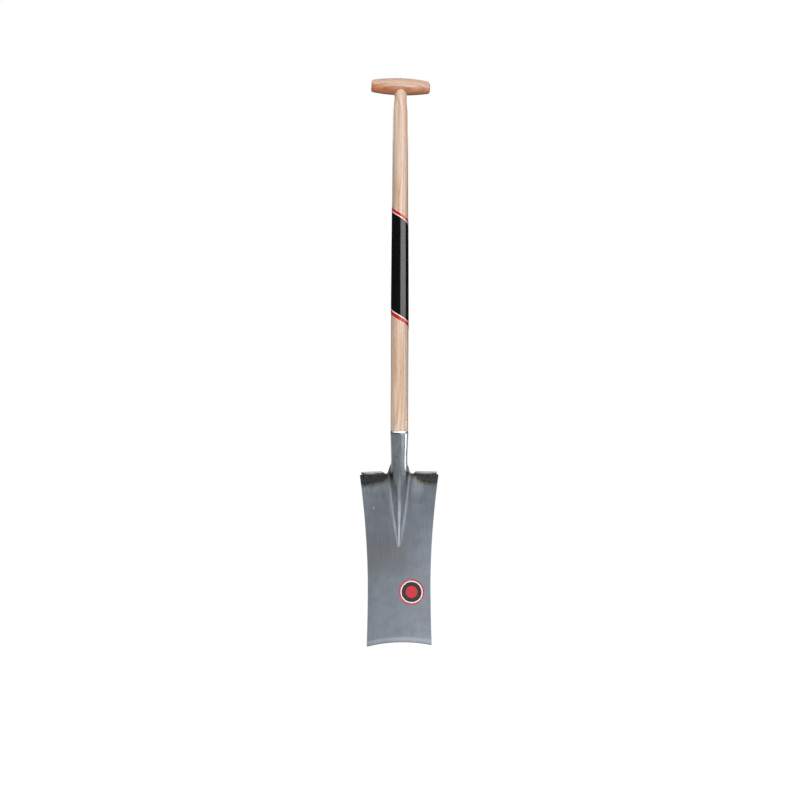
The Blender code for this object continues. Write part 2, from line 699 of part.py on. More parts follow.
def make_label(collection):
    """The film round the shaft: its ends slant down to the right and its edges meet at the back."""
    seam = math.radians(LABEL_SEAM)
    turn = math.tau / ROUND_STEPS
    angles = [turn * step for step in range(1 - ROUND_STEPS // 2, ROUND_STEPS // 2)]
    angles = [-math.pi + seam] + angles + [math.pi - seam]
    rises = [0.0] + spread(0.0, LABEL_HEIGHT, 5)
    bm = bmesh.new()
    grid = []
    for rise in rises:
        row = []
        for angle in angles:
            height = RIM + LABEL_MIDDLE - LABEL_HEIGHT / 2 + rise - LABEL_DROP * angle / math.tau
            radius = shaft_radius(height) + FILM_FIT
            row.append(bm.verts.new((radius * math.sin(angle), -radius * math.cos(angle), height)))
        grid.append(row)
    for lower, upper in zip(grid, grid[1:]):
        for i in range(len(angles) - 1):
            bm.faces.new((lower[i], lower[i + 1], upper[i + 1], upper[i]))
    label = add_object("shaft_label", mesh_from(bm, "shaft_label"), collection, "black_film")
    film = label.modifiers.new("film", "SOLIDIFY")
    film.thickness = LABEL_FILM
    film.offset = 1.0
    return label


def make_sticker(collection):
    """The round sticker, following the dish of the blade."""
    bm = bmesh.new()
    bmesh.ops.create_circle(bm, cap_ends=True, segments=ROUND_STEPS, radius=STICKER_DIAMETER / 2)
    for _ in range(2):
        rim = [face for face in bm.faces if len(face.verts) == ROUND_STEPS]
        bmesh.ops.inset_individual(bm, faces=rim, thickness=STICKER_DIAMETER / 7)
    upright = Matrix.Rotation(math.radians(90), 4, "X")
    place = Matrix.Translation((STICKER_RIGHT, 0.0, STICKER_HEIGHT))
    bmesh.ops.transform(bm, matrix=place @ upright, verts=bm.verts)
    for vert in bm.verts:
        vert.co.y = face_depth(vert.co.z) - sag(vert.co.x) - FILM_FIT
    middle = [face for face in bm.faces if len(face.verts) == ROUND_STEPS]
    bmesh.ops.poke(bm, faces=middle)
    sticker = add_object("blade_sticker", mesh_from(bm, "blade_sticker"), collection, "red_paper")
    film = sticker.modifiers.new("film", "SOLIDIFY")
    film.thickness = STICKER_FILM
    film.offset = 1.0
    return sticker


def main():
    clear_scene()
    spade = new_collection("digging_spade")
    cutters = new_collection("cutters")
    crown = flush_cutter(cutters)
    pieces = [make_blade(spade, cutters), make_shaft(spade, cutters, crown), make_grip(spade, cutters)]
    pieces += [make_wedge(spade, cutters, crown), make_label(spade), make_sticker(spade)]
    pieces += [make_nail(name, height, spade) for name, height in nail_heights().items()]
    for word, side in (("left", -1), ("right", 1)):
        pieces.append(make_tread(f"tread_{word}", side, spade))
        pieces.append(make_weld(f"tread_weld_{word}", side, False, spade))
        pieces.append(make_weld(f"tread_weld_front_{word}", side, True, spade))
    stand = bpy.data.objects.new("spade_frame", None)
    spade.objects.link(stand)
    creases = crease_group()
    for piece in pieces:
        shade(piece, creases)
        piece.parent = stand


main()
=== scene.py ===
"""Looks of the digging spade: fine meshes and finishes for each CAD node, and the studio.

Lengths are in metres and angles in degrees, in the frame of the CAD: the shaft stands along
+Z on the origin, and the hollow working face of the blade looks towards -Y.
"""

import enum
import logging
import math
from collections.abc import Iterator, Mapping, Sequence
from dataclasses import dataclass, field
from functools import partial

import bmesh
import bpy
from bpy.types import Material, Mesh, Node, NodeSocket, NodeTree, Object, SolidifyModifier
from mathutils import Matrix, Vector, noise

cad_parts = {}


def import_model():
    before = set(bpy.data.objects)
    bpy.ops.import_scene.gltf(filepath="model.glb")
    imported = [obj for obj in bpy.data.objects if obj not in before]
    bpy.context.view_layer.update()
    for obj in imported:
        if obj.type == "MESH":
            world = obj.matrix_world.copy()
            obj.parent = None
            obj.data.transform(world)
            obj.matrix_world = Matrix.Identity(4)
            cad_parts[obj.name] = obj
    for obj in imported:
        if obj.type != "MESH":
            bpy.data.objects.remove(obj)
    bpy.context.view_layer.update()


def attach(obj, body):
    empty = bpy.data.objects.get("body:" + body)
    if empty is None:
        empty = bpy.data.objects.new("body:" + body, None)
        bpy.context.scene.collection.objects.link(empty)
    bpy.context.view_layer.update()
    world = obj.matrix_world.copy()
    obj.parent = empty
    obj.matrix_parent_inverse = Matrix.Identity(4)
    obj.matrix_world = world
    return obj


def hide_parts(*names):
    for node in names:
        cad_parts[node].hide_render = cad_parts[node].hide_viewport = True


PICTURE_SIDE = 800  # pixels, of the photograph's square frame
CREASE = math.radians(38)  # sharper edges aren't shaded smooth
STANDING = Matrix.Identity(4)  # the spade's own frame

# Blender's names of the nodes that are used most.
MATH = "ShaderNodeMath"
VECTOR_MATH = "ShaderNodeVectorMath"
RANGE = "ShaderNodeMapRange"
RAMP = "ShaderNodeValToRGB"
MIX = "ShaderNodeMix"
NOISE = "ShaderNodeTexNoise"
MAPPING = "ShaderNodeMapping"
SPLIT = "ShaderNodeSeparateXYZ"
JOIN = "ShaderNodeCombineXYZ"

log = logging.getLogger("spade")

Point = tuple[float, float, float]  # a place, or a size along each axis
Span = tuple[float, ...]  # where a mask starts and ends, then its values there if not 0 and 1
Stops = Sequence[tuple[float, str | float]]  # positions on a ramp, and the colours or greys there
Value = float | Node | NodeSocket  # what an input takes


class Side(enum.Enum):
    """A side of the spade, seen from the front, with the sign of its X."""

    LEFT = -1
    RIGHT = 1


class Face(enum.Enum):
    """A face of the blade's sheet."""

    FRONT = "front"
    BACK = "back"


class Grain(enum.Enum):
    """The way that the grain of a wooden piece runs."""

    UPRIGHT = "along Z"
    ACROSS = "along X"


class Carving(enum.Enum):
    """What other pieces do to a piece, by the name of Blender's own operation."""

    CUT = "DIFFERENCE"
    ADD = "UNION"
    TRIM = "INTERSECT"


def linear(colour: str | float) -> tuple[float, float, float, float]:
    """Turns a colour into the linear values that a shader takes.

    Args:
        colour: An sRGB colour as "#rrggbb", or a plain number for a grey mask.

    Returns:
        Red, green, blue and alpha.
    """
    if isinstance(colour, float):
        return (colour, colour, colour, 1.0)
    shares = [int(colour[i : i + 2], 16) / 255 for i in (1, 3, 5)]
    red, green, blue = (s / 12.92 if s <= 0.04045 else ((s + 0.055) / 1.055) ** 2.4 for s in shares)
    return (red, green, blue, 1.0)


def connect(made: Node, inputs: Mapping[str, object] | Sequence[object]) -> None:
    """Gives each input of a node a value or a link.

    Args:
        made: The node.
        inputs: What each named input takes, or a list of what the inputs take in order: a value,
            a colour, a socket, or a node, which gives its first output that is in use.
    """
    for name, value in inputs.items() if isinstance(inputs, Mapping) else enumerate(inputs):
        named = [s for s in made.inputs if s.enabled and s.name == name]
        socket = made.inputs[name] if isinstance(name, int) else named[0]
        if isinstance(value, Node):
            value = next(s for s in value.outputs if s.enabled)
        if isinstance(value, NodeSocket):
            made.id_data.links.new(value, socket)
        else:
            socket.default_value = linear(value) if isinstance(value, str) else value


def add_node(
    tree: NodeTree,
    kind: str,
    inputs: Mapping[str, object] | Sequence[object] = (),
    stops: Stops = (),
    **settings: object,
) -> Node:
    """Adds a node with its settings, and gives each input a value or a link.

    Args:
        tree: Tree of a material, of the world or of a modifier.
        kind: Blender's name of the type of node.
        inputs: What its inputs take, as for connect.
        stops: Positions and colours of a ramp.
        **settings: Properties of the node itself.

    Returns:
        The new node.
    """
    made = tree.nodes.new(kind)
    for name, value in settings.items():
        setattr(made, name, value)
    connect(made, inputs)
    if stops:
        ramp = made.color_ramp
        while len(ramp.elements) < len(stops):
            ramp.elements.new(1.0)
        for element, (position, colour) in zip(ramp.elements, stops):
            element.position = position
            element.color = linear(colour)
    return made


class Graph:
    """A node tree under construction."""

    def __init__(self, tree: NodeTree) -> None:
        """Starts with an empty tree."""
        self.tree, self.node = tree, partial(add_node, tree)

    def product(self, first: Value, *factors: Value) -> Value:
        """Multiplies values.

        Args:
            first: The first value.
            *factors: What it is multiplied by, one after another.

        Returns:
            The product.
        """
        for factor in factors:
            first = self.node(MATH, [first, factor], operation="MULTIPLY")
        return first

    def total(self, start: Value, *parts: tuple[Value, Value]) -> Value:
        """Adds up values.

        Args:
            start: The first value.
            *parts: What is added to it, each with the share of it that is added.

        Returns:
            The sum.
        """
        for part, share in parts:
            start = self.node(MATH, [part, share, start], operation="MULTIPLY_ADD")
        return start


class Recipe(Graph):
    """A material under construction, with the patterns of nodes that the finishes share."""

    def __init__(self, name: str) -> None:
        """Starts the material from a Principled shader.

        Args:
            name: What it is made of, and how.
        """
        self.made = bpy.data.materials.new(name)
        self.made.use_nodes = True
        super().__init__(self.made.node_tree)
        self.shader = self.tree.nodes["Principled BSDF"]
        self.place = self.node("ShaderNodeTexCoord").outputs["Object"]

    def mask(self, *parts: tuple[Value, Span]) -> Value:
        """Multiplies masks, each of a value and the span where it starts and ends."""
        return self.product(*(self.node(RANGE, [value, *span]) for value, span in parts))

    def near(self, value: Value, line: float, span: Span) -> Node:
        """Masks what is near a line.

        Args:
            value: What is compared with the line.
            line: Where the line is.
            span: Distances at which the mask starts and ends, and its values there.

        Returns:
            The mask.
        """
        apart = self.node(MATH, [value, line], operation="SUBTRACT")
        apart = self.node(MATH, [apart], operation="ABSOLUTE")
        return self.node(RANGE, [apart, *span])

    def oval(self, x: float, z: float, half: float, tall: float) -> NodeSocket:
        """Measures how far a point of the surface is from the middle of an upright oval.

        Args:
            x: X of its middle.
            z: Height of its middle.
            half: Half its width.
            tall: Half its height.

        Returns:
            The distance, which is 1 on its outline.
        """
        middle, size = (-x / half, 0.0, -z / tall), (1 / half, 0.0, 1 / tall)
        spaced = self.node(MAPPING, {"Vector": self.place, "Location": middle, "Scale": size})
        return self.node(VECTOR_MATH, [spaced], operation="LENGTH").outputs["Value"]

    def grained(
        self, size: Point, detail: float, rough: float = 0.5, place: Value | None = None
    ) -> Node:
        """Adds noise.

        Args:
            size: Size of its grains along X, Y and Z.
            detail: Octaves of it.
            rough: Share of each octave in the next.
            place: Coordinates, or none for the object's own.

        Returns:
            The noise.
        """
        scale = tuple(1 / s for s in size)
        spaced = self.node(MAPPING, {"Vector": place or self.place, "Scale": scale})
        inputs = {"Vector": spaced, "Scale": 1.0, "Detail": detail, "Roughness": rough}
        return self.node(NOISE, inputs)

    def finish(self, inputs: Mapping[str, object], relief: Value, depth: float) -> Material:
        """Completes the material.

        Args:
            inputs: What the shader's inputs take.
            relief: Height of the bumps.
            depth: Depth of the bumps.

        Returns:
            The material.
        """
        bump = self.node("ShaderNodeBump", {"Height": relief, "Strength": 1.0, "Distance": depth})
        connect(self.shader, {**inputs, "Normal": bump})
        return self.made


def smooth_step(share: float) -> float:
    """A smooth step from 0 to 1."""
    share = min(max(share, 0.0), 1.0)
    return share * share * (3 - 2 * share)


def spread(first: float, last: float, count: int, bias: float = 1.0) -> list[float]:
    """Values from first to last, without first.

    Args:
        first: Where the values start.
        last: The last value.
        count: How many values there are.
        bias: Over 1, it crowds them at first.

    Returns:
        The values in order.
    """
    return [first + (last - first) * (i / count) ** bias for i in range(1, count + 1)]


def made_from(shape: bmesh.types.BMesh, name: str) -> Object:
    """Makes an object of a finished bmesh and puts it in the scene.

    Args:
        shape: The bmesh, which is freed.
        name: Name of the object and of its mesh.

    Returns:
        The object.
    """
    mesh = bpy.data.meshes.new(name)
    shape.to_mesh(mesh)
    shape.free()
    thing = bpy.data.objects.new(name, mesh)
    bpy.context.scene.collection.objects.link(thing)
    return thing


def settled(thing: Object) -> Object:
    """Gives a piece the mesh that its modifiers make, with its place in it, and takes them off.

    Args:
        thing: The piece.

    Returns:
        The same piece.
    """
    graph = bpy.context.evaluated_depsgraph_get()
    mesh = bpy.data.meshes.new_from_object(thing.evaluated_get(graph))
    thing.modifiers.clear()
    thing.data = mesh
    mesh.transform(thing.matrix_world)
    thing.matrix_world = Matrix.Identity(4)
    return thing


def carve(thing: Object, way: Carving, others: Sequence[Object]) -> None:
    """Changes a piece by other pieces, and deletes them.

    Args:
        thing: The piece that is changed.
        way: What the others do to it.
        others: The other pieces.
    """
    for other in others:
        cut = thing.modifiers.new(other.name, "BOOLEAN")
        cut.operation = way.value
        cut.object = other
        cut.solver = "EXACT"
    settled(thing)
    for other in others:
        bpy.data.objects.remove(other, do_unlink=True)


def cylinder(
    name: str, diameter: float, bottom: float, top: float, place: Matrix = STANDING
) -> Object:
    """A cylinder that cuts or joins a piece.

    Args:
        name: Name of the helper.
        diameter: Its diameter.
        bottom: Lower end on its own Z axis.
        top: Upper end on its own Z axis.
        place: Its frame.

    Returns:
        The helper's object.
    """
    shape = bmesh.new()
    bmesh.ops.create_cone(
        shape,
        cap_ends=True,
        segments=96,
        radius1=diameter / 2,
        radius2=diameter / 2,
        depth=top - bottom,
        matrix=place @ Matrix.Translation((0.0, 0.0, (bottom + top) / 2)),
    )
    return made_from(shape, name)


def block(size: Point, middle: Point) -> bmesh.types.BMesh:
    """A block along the axes.

    Args:
        size: Its size along X, Y and Z.
        middle: Its middle.

    Returns:
        The bmesh.
    """
    shape = bmesh.new()
    place = Matrix.Translation(middle) @ Matrix.Diagonal((*size, 1.0))
    bmesh.ops.create_cube(shape, size=1.0, matrix=place)
    return shape


def skin(shape: bmesh.types.BMesh, rows: Sequence[Sequence[bmesh.types.BMVert]]) -> None:
    """Joins rings of points with faces.

    Args:
        shape: The bmesh.
        rows: The rings; one that lies on the axis is a single point.
    """
    for upper, lower in zip(rows, rows[1:]):
        steps = max(len(upper), len(lower))
        for i in range(steps):
            ends = ((upper, i), (lower, i), (lower, (i + 1) % steps), (upper, (i + 1) % steps))
            shape.faces.new(list(dict.fromkeys(row[k % len(row)] for row, k in ends)))


def turned(name: str, profile: Sequence[tuple[float, float]], steps: int) -> Object:
    """A solid turned about the Z axis.

    Args:
        name: Name of the piece.
        profile: Radius and height of points down its outer side; the ends lie on the axis.
        steps: Number of faces round it.

    Returns:
        The piece's object.
    """
    shape = bmesh.new()
    rows = []
    for radius, height in profile:
        turns = [math.tau * i / steps for i in range(steps if radius else 1)]
        points = [(radius * math.cos(turn), radius * math.sin(turn), height) for turn in turns]
        rows.append([shape.verts.new(point) for point in points])
    skin(shape, rows)
    bmesh.ops.recalc_face_normals(shape, faces=shape.faces)
    return made_from(shape, name)


def roughen(mesh: Mesh, depth: float, size: float, seed: float) -> None:
    """Moves the points of a mesh along their normals, to make a surface uneven.

    Args:
        mesh: The mesh.
        depth: How far a point moves at most.
        size: Size of the larger bumps.
        seed: Offset in the noise.
    """
    shift = Vector((seed, seed * 2, seed * 3))
    moves = [noise.fractal(vert.co / size + shift, 0.8, 2.1, 4) for vert in mesh.vertices]
    normals = [normal.vector.copy() for normal in mesh.vertex_normals]
    for vert, normal, move in zip(mesh.vertices, normals, moves):
        vert.co += normal * (depth * max(-1.0, min(move, 1.0)))


def thicken(thing: Object, thickness: float) -> SolidifyModifier:
    """Gives a surface a wall towards its front.

    Args:
        thing: The surface.
        thickness: Thickness of the wall.

    Returns:
        The modifier, still to be settled.
    """
    wall = thing.modifiers.new("wall", "SOLIDIFY")
    wall.thickness = thickness
    wall.offset = 1.0
    return wall


class Rule(Graph):
    """A Geometry Nodes tree that bends a grid into a closed piece, with an input for each size."""

    def __init__(self, name: str, sizes: Mapping[str, float], columns: int, rows: int) -> None:
        """Starts the tree.

        Args:
            name: Name of the tree.
            sizes: Name and value of each input.
            columns: Faces along U of the grid, whose sides run from -0.5 to 0.5.
            rows: Faces along V.
        """
        super().__init__(bpy.data.node_groups.new(name, "GeometryNodeTree"))
        self.tree.is_modifier = True
        self.sizes = sizes
        for size in sizes:
            self.tree.interface.new_socket(size, in_out="INPUT", socket_type="NodeSocketFloat")
        self.tree.interface.new_socket("Material", in_out="INPUT", socket_type="NodeSocketMaterial")
        self.tree.interface.new_socket("Geometry", in_out="OUTPUT", socket_type="NodeSocketGeometry")
        self.size = {s.name: s for s in self.node("NodeGroupInput").outputs if s.name}
        self.grid = self.node("GeometryNodeMeshGrid", [1.0, 1.0, columns + 1, rows + 1])
        self.u, self.v, _ = self.node(SPLIT, [self.node("GeometryNodeInputPosition")]).outputs

    def grow(self, name: str, place: Sequence[Value], weld: float, material: Material) -> Object:
        """Ends the tree and makes the piece.

        Args:
            name: Name of the piece.
            place: X, Y and Z of each point of the grid.
            weld: Points that are closer than this become one.
            material: Its finish.

        Returns:
            The piece's object, its faces turned outwards and no modifier left on it.
        """
        bent = {"Geometry": self.grid, "Position": self.node(JOIN, place)}
        bent = self.node("GeometryNodeSetPosition", bent)
        closed = self.node("GeometryNodeMergeByDistance", {"Geometry": bent, "Distance": weld})
        dressed = {
            "Geometry": self.node("GeometryNodeRealizeInstances", [closed]),
            "Material": self.size["Material"],
        }
        self.node("NodeGroupOutput", [self.node("GeometryNodeSetMaterial", dressed)])
        thing = made_from(bmesh.new(), name)
        rule = thing.modifiers.new(self.tree.name, "NODES")
        rule.node_group = self.tree
        values = {**self.sizes, "Material": material}
        for item in self.tree.interface.items_tree:
            if item.in_out == "INPUT":
                rule[item.identifier] = values[item.name]
        settled(thing)
        shape = bmesh.new()
        shape.from_mesh(thing.data)
        bmesh.ops.recalc_face_normals(shape, faces=shape.faces)
        shape.to_mesh(thing.data)
        shape.free()
        return thing


def hand_over(thing: Object, node: str, material: Material) -> None:
    """Dresses a finished piece and lets it stand for its CAD node.

    Args:
        thing: The piece.
        node: CAD node that it replaces.
        material: Its finish.
    """
    mesh = thing.data
    mesh.materials.clear()
    mesh.materials.append(material)
    for polygon in mesh.polygons:
        polygon.material_index = 0
    mesh.shade_smooth()
    mesh.set_sharp_from_angle(angle=CREASE)
    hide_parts(node)
    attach(thing, "root")
    mesh.calc_loop_triangles()
    log.info("%s: %d triangles, %s", thing.name, len(mesh.loop_triangles), material.name)


@dataclass(frozen=True)
class Layout:
    """Heights that the pieces share, from the corners of the cutting edge."""

    shoulder: float = 0.3457
    rim: float = 0.4349
    grip_underside: float = 1.1229
    grip_axis: float = 1.1403
    grip_top: float = 1.1577
    fit: float = 0.0003  # gap between pieces that touch
    film_fit: float = 0.0002


@dataclass(frozen=True)
class Socket:
    """Outline of the rolled socket: a straight neck that sweeps open to the rim."""

    rim_diameter: float = 0.0372
    neck_diameter: float = 0.0328
    neck_straight: float = 0.022
    rim_sweep: float = 1.6
    sheet: float = 0.0024

    def radius(self, height: float, layout: Layout) -> float:
        """Gives the outer radius of the socket at a height.

        Args:
            height: The height.
            layout: Heights of the shoulders and the rim.

        Returns:
            The radius.
        """
        start = layout.shoulder + self.neck_straight
        share = max(0.0, (height - start) / (layout.rim - start))
        widening = (self.rim_diameter - self.neck_diameter) * share**self.rim_sweep
        return (self.neck_diameter + widening) / 2


@dataclass(frozen=True)
class Dish:
    """The hollow of the blade: an arc from side to side, leaning forwards to the edge."""

    radius: float = 0.235
    lean: float = 3.0
    setting: float = 0.008  # working face behind the shaft's axis, at the shoulders

    def sag(self, x: float) -> float:
        """Gives how far the arc has come forwards at x."""
        return self.radius - math.sqrt(self.radius**2 - x * x)

    def depth(self, height: float, layout: Layout) -> float:
        """Gives Y of the working face on the centre line."""
        return self.setting - (layout.shoulder - height) * math.tan(math.radians(self.lean))


@dataclass(frozen=True)
class ForgedSteel:
    """Blade steel: sheet, pressed hot, ground lengthwise and clear-lacquered.

    The eye sees a cool grey with soft lengthwise streaks, black and brown heat scale below
    the welded treads, and bright new metal where the cutting edge and the rim were ground.
    The colour also holds painted light and shade: the sheet darker on the left, the frog
    brighter with painted highlights along its ridge and foot, and painted shade on the neck
    and right of the frog's foot.
    """

    light: str = "#a9b1bd"
    dark: str = "#9199a5"
    stained: str = "#e9e4dc"  # multiplies the steel
    browned: str = "#ede4d6"  # the same, on the frog
    # Ground metal; the painted highlights on the frog take it too.
    bright: str = "#cfd3d8"
    burr: str = "#7b8088"
    rust: str = "#9a7656"  # multiplies the steel, in an arc below the right tread
    roughness: Span = (0.0, 1.0, 0.23, 0.35)  # by the streaks
    relief: float = 0.00005

    # Width, width and length of the grains of each noise. Real scratches are a quarter as wide
    # and wouldn't show.
    streak: Point = (0.0021, 0.0021, 0.150)
    scratch: Point = (0.00045, 0.00045, 0.030)
    drag: Point = (0.0014, 0.0014, 0.026)
    flake: Point = (0.0036, 0.0036, 0.012)
    mottle: Point = (0.022, 0.022, 0.022)
    speck: Point = (0.0022, 0.0022, 0.0022)
    cloud: Point = (0.045, 0.045, 0.070)

    # How far noise draws the edges of masks out of line.
    cloud_pull: float = 0.06
    frog_jag: float = 0.0045
    band_jag: float = 0.03
    zone_jag: float = 0.019
    edge_jag: float = 0.0015
    rub_jag: float = 1.2

    # Brightness by height; and painted light and shade: the sheet darker on the left and brighter on
    # the right, the frog brighter with its right flank most, and darker towards the neck.
    across: Span = (-0.040, 0.105, 0.76, 1.05)
    upwards: Stops = ((0.02, 1.0), (0.07, 0.94), (0.20, 1.0))
    frog_edge: Span = (-0.004, 0.002)
    frog_tip: Span = (0.05, 0.0)
    flanks: Span = (-0.003, 0.003, 0.40, 0.60)
    flanks_end: Span = (1.0, 0.72)
    rolled: Span = (0.70, 0.92, 1.0, 0.88)
    wings: Span = (0.014, 0.024)

    # The flat tongue down the middle of the neck, and painted shade on it either side of its middle
    # line.
    tongue_width: Span = (0.285, 0.352, -0.0022, -0.0128)
    tongue_edge: Span = (0.0012, -0.0012)
    tongue_start: Span = (0.280, 0.300)
    cheek_line: float = -0.0008
    cheeks: Span = (-0.003, 0.003, 0.40, 0.29)
    cheek_edge: Span = (0.0008, 0.0042)
    cheek_end: Span = (0.330, 0.374, 1.0, 0.0)

    # Painted shade right of the frog's foot, and metal rubbed bare beside it.
    right_side: float = 0.003
    groove_line: float = -0.0004
    groove: Span = (0.0034, 0.0012, 0.0, 0.40)
    groove_start: Span = (0.55, 0.75)
    rub: tuple[float, float, float, float] = (0.037, 0.320, 0.015, 0.026)  # X, Z and half its sizes
    rub_edge: Span = (1.2, 0.3, 0.0, 0.55)

    # Stains: a low band, the left side, and the frog where it was heated.
    stain: Span = (0.36, 0.64)
    stain_left: Span = (0.085, 0.025)
    stain_height: float = 0.185
    stain_band: Span = (0.065, 0.015, 0.12)
    hotter: Span = (0.40, 0.85, 0.50, 1.0)
    neck_browned: Span = (1.0, 0.88, 0.0, 0.40)

    # Painted highlights along the frog's foot and down its ridge, broken by noise.
    ridge_line: float = -0.0011
    ridge: Span = (0.0026, 0.0004)
    ridge_end: Span = (0.75, 0.25)
    foot_line: float = -0.0008
    foot: Span = (0.0020, 0.0003)
    foot_end: Span = (0.95, 0.12, 0.0, 0.55)
    foot_sides: Span = (-0.003, 0.003, 0.75, 0.40)
    second_line: float = -0.0062
    second: Span = (0.0012, 0.0003, 0.0, 0.45)
    line_start: Span = (0.0, 0.04)
    line_gaps: Span = (0.36, 0.60, 0.10)

    # Heat scale below the treads.
    zone_depth: float = 0.028
    zone_rise: float = 0.003
    zone_width: Span = (-0.08, 0.08)
    zone: Stops = (  # share of that depth, across that width
        (0.00, 0.74), (0.11, 0.73), (0.20, 0.64), (0.31, 0.50), (0.38, 0.36), (0.42, 0.10),
        (0.60, 0.0), (0.67, 0.0), (0.71, 0.12), (0.745, 0.38), (0.82, 0.54), (0.90, 0.65),
        (1.00, 0.62),
    )
    zone_edge: Span = (-0.012, 0.0015)
    zone_sides: Span = (0.0080, 0.0300)
    heat: Stops = (  # from sound steel to the scale: a cool fringe, straw, brown and black
        (0.00, "#ffffff"), (0.26, "#eae2c8"), (0.52, "#cdc1a5"), (0.70, "#90876f"),
        (0.84, "#4f4943"), (1.00, "#585a5e"),
    )
    scale: Span = (0.72, 0.95)
    warmth: Span = (-0.020, 0.035, 0.40)
    arc_line: float = 0.041
    arc: Span = (0.0100, 0.0040)
    arc_heat: float = 0.68
    arc_width: Span = (0.26, 0.08, 0.0, 0.85)
    flecks: Stops = ((0.28, "#6a6a6a"), (0.46, "#d8d8d8"), (0.62, "#ffffff"))

    # Ground metal at the edge, by the height above its arch, and at the rim.
    edge_arch: float = 0.0038
    edge_half_width: float = 0.0664
    edge: Span = (0.0128, 0.0082)
    edge_low: Span = (0.0030, 0.0080, 0.40)
    edge_sides: Span = (-0.03, 0.04, 0.40, 0.90)
    burr_edge: Span = (0.0024, 0.0010)
    rim_depths: Span = (0.0032, 0.0024)
    nick: tuple[float, float, float, float] = (-0.052, 0.2775, 0.0016, 0.0045)  # as rub
    nick_edge: Span = (1.0, 0.5)

    def material(self, layout: Layout, blade: "Blade") -> Material:
        """Builds the material for a blade."""
        return SteelRecipe(self, layout, blade).build()


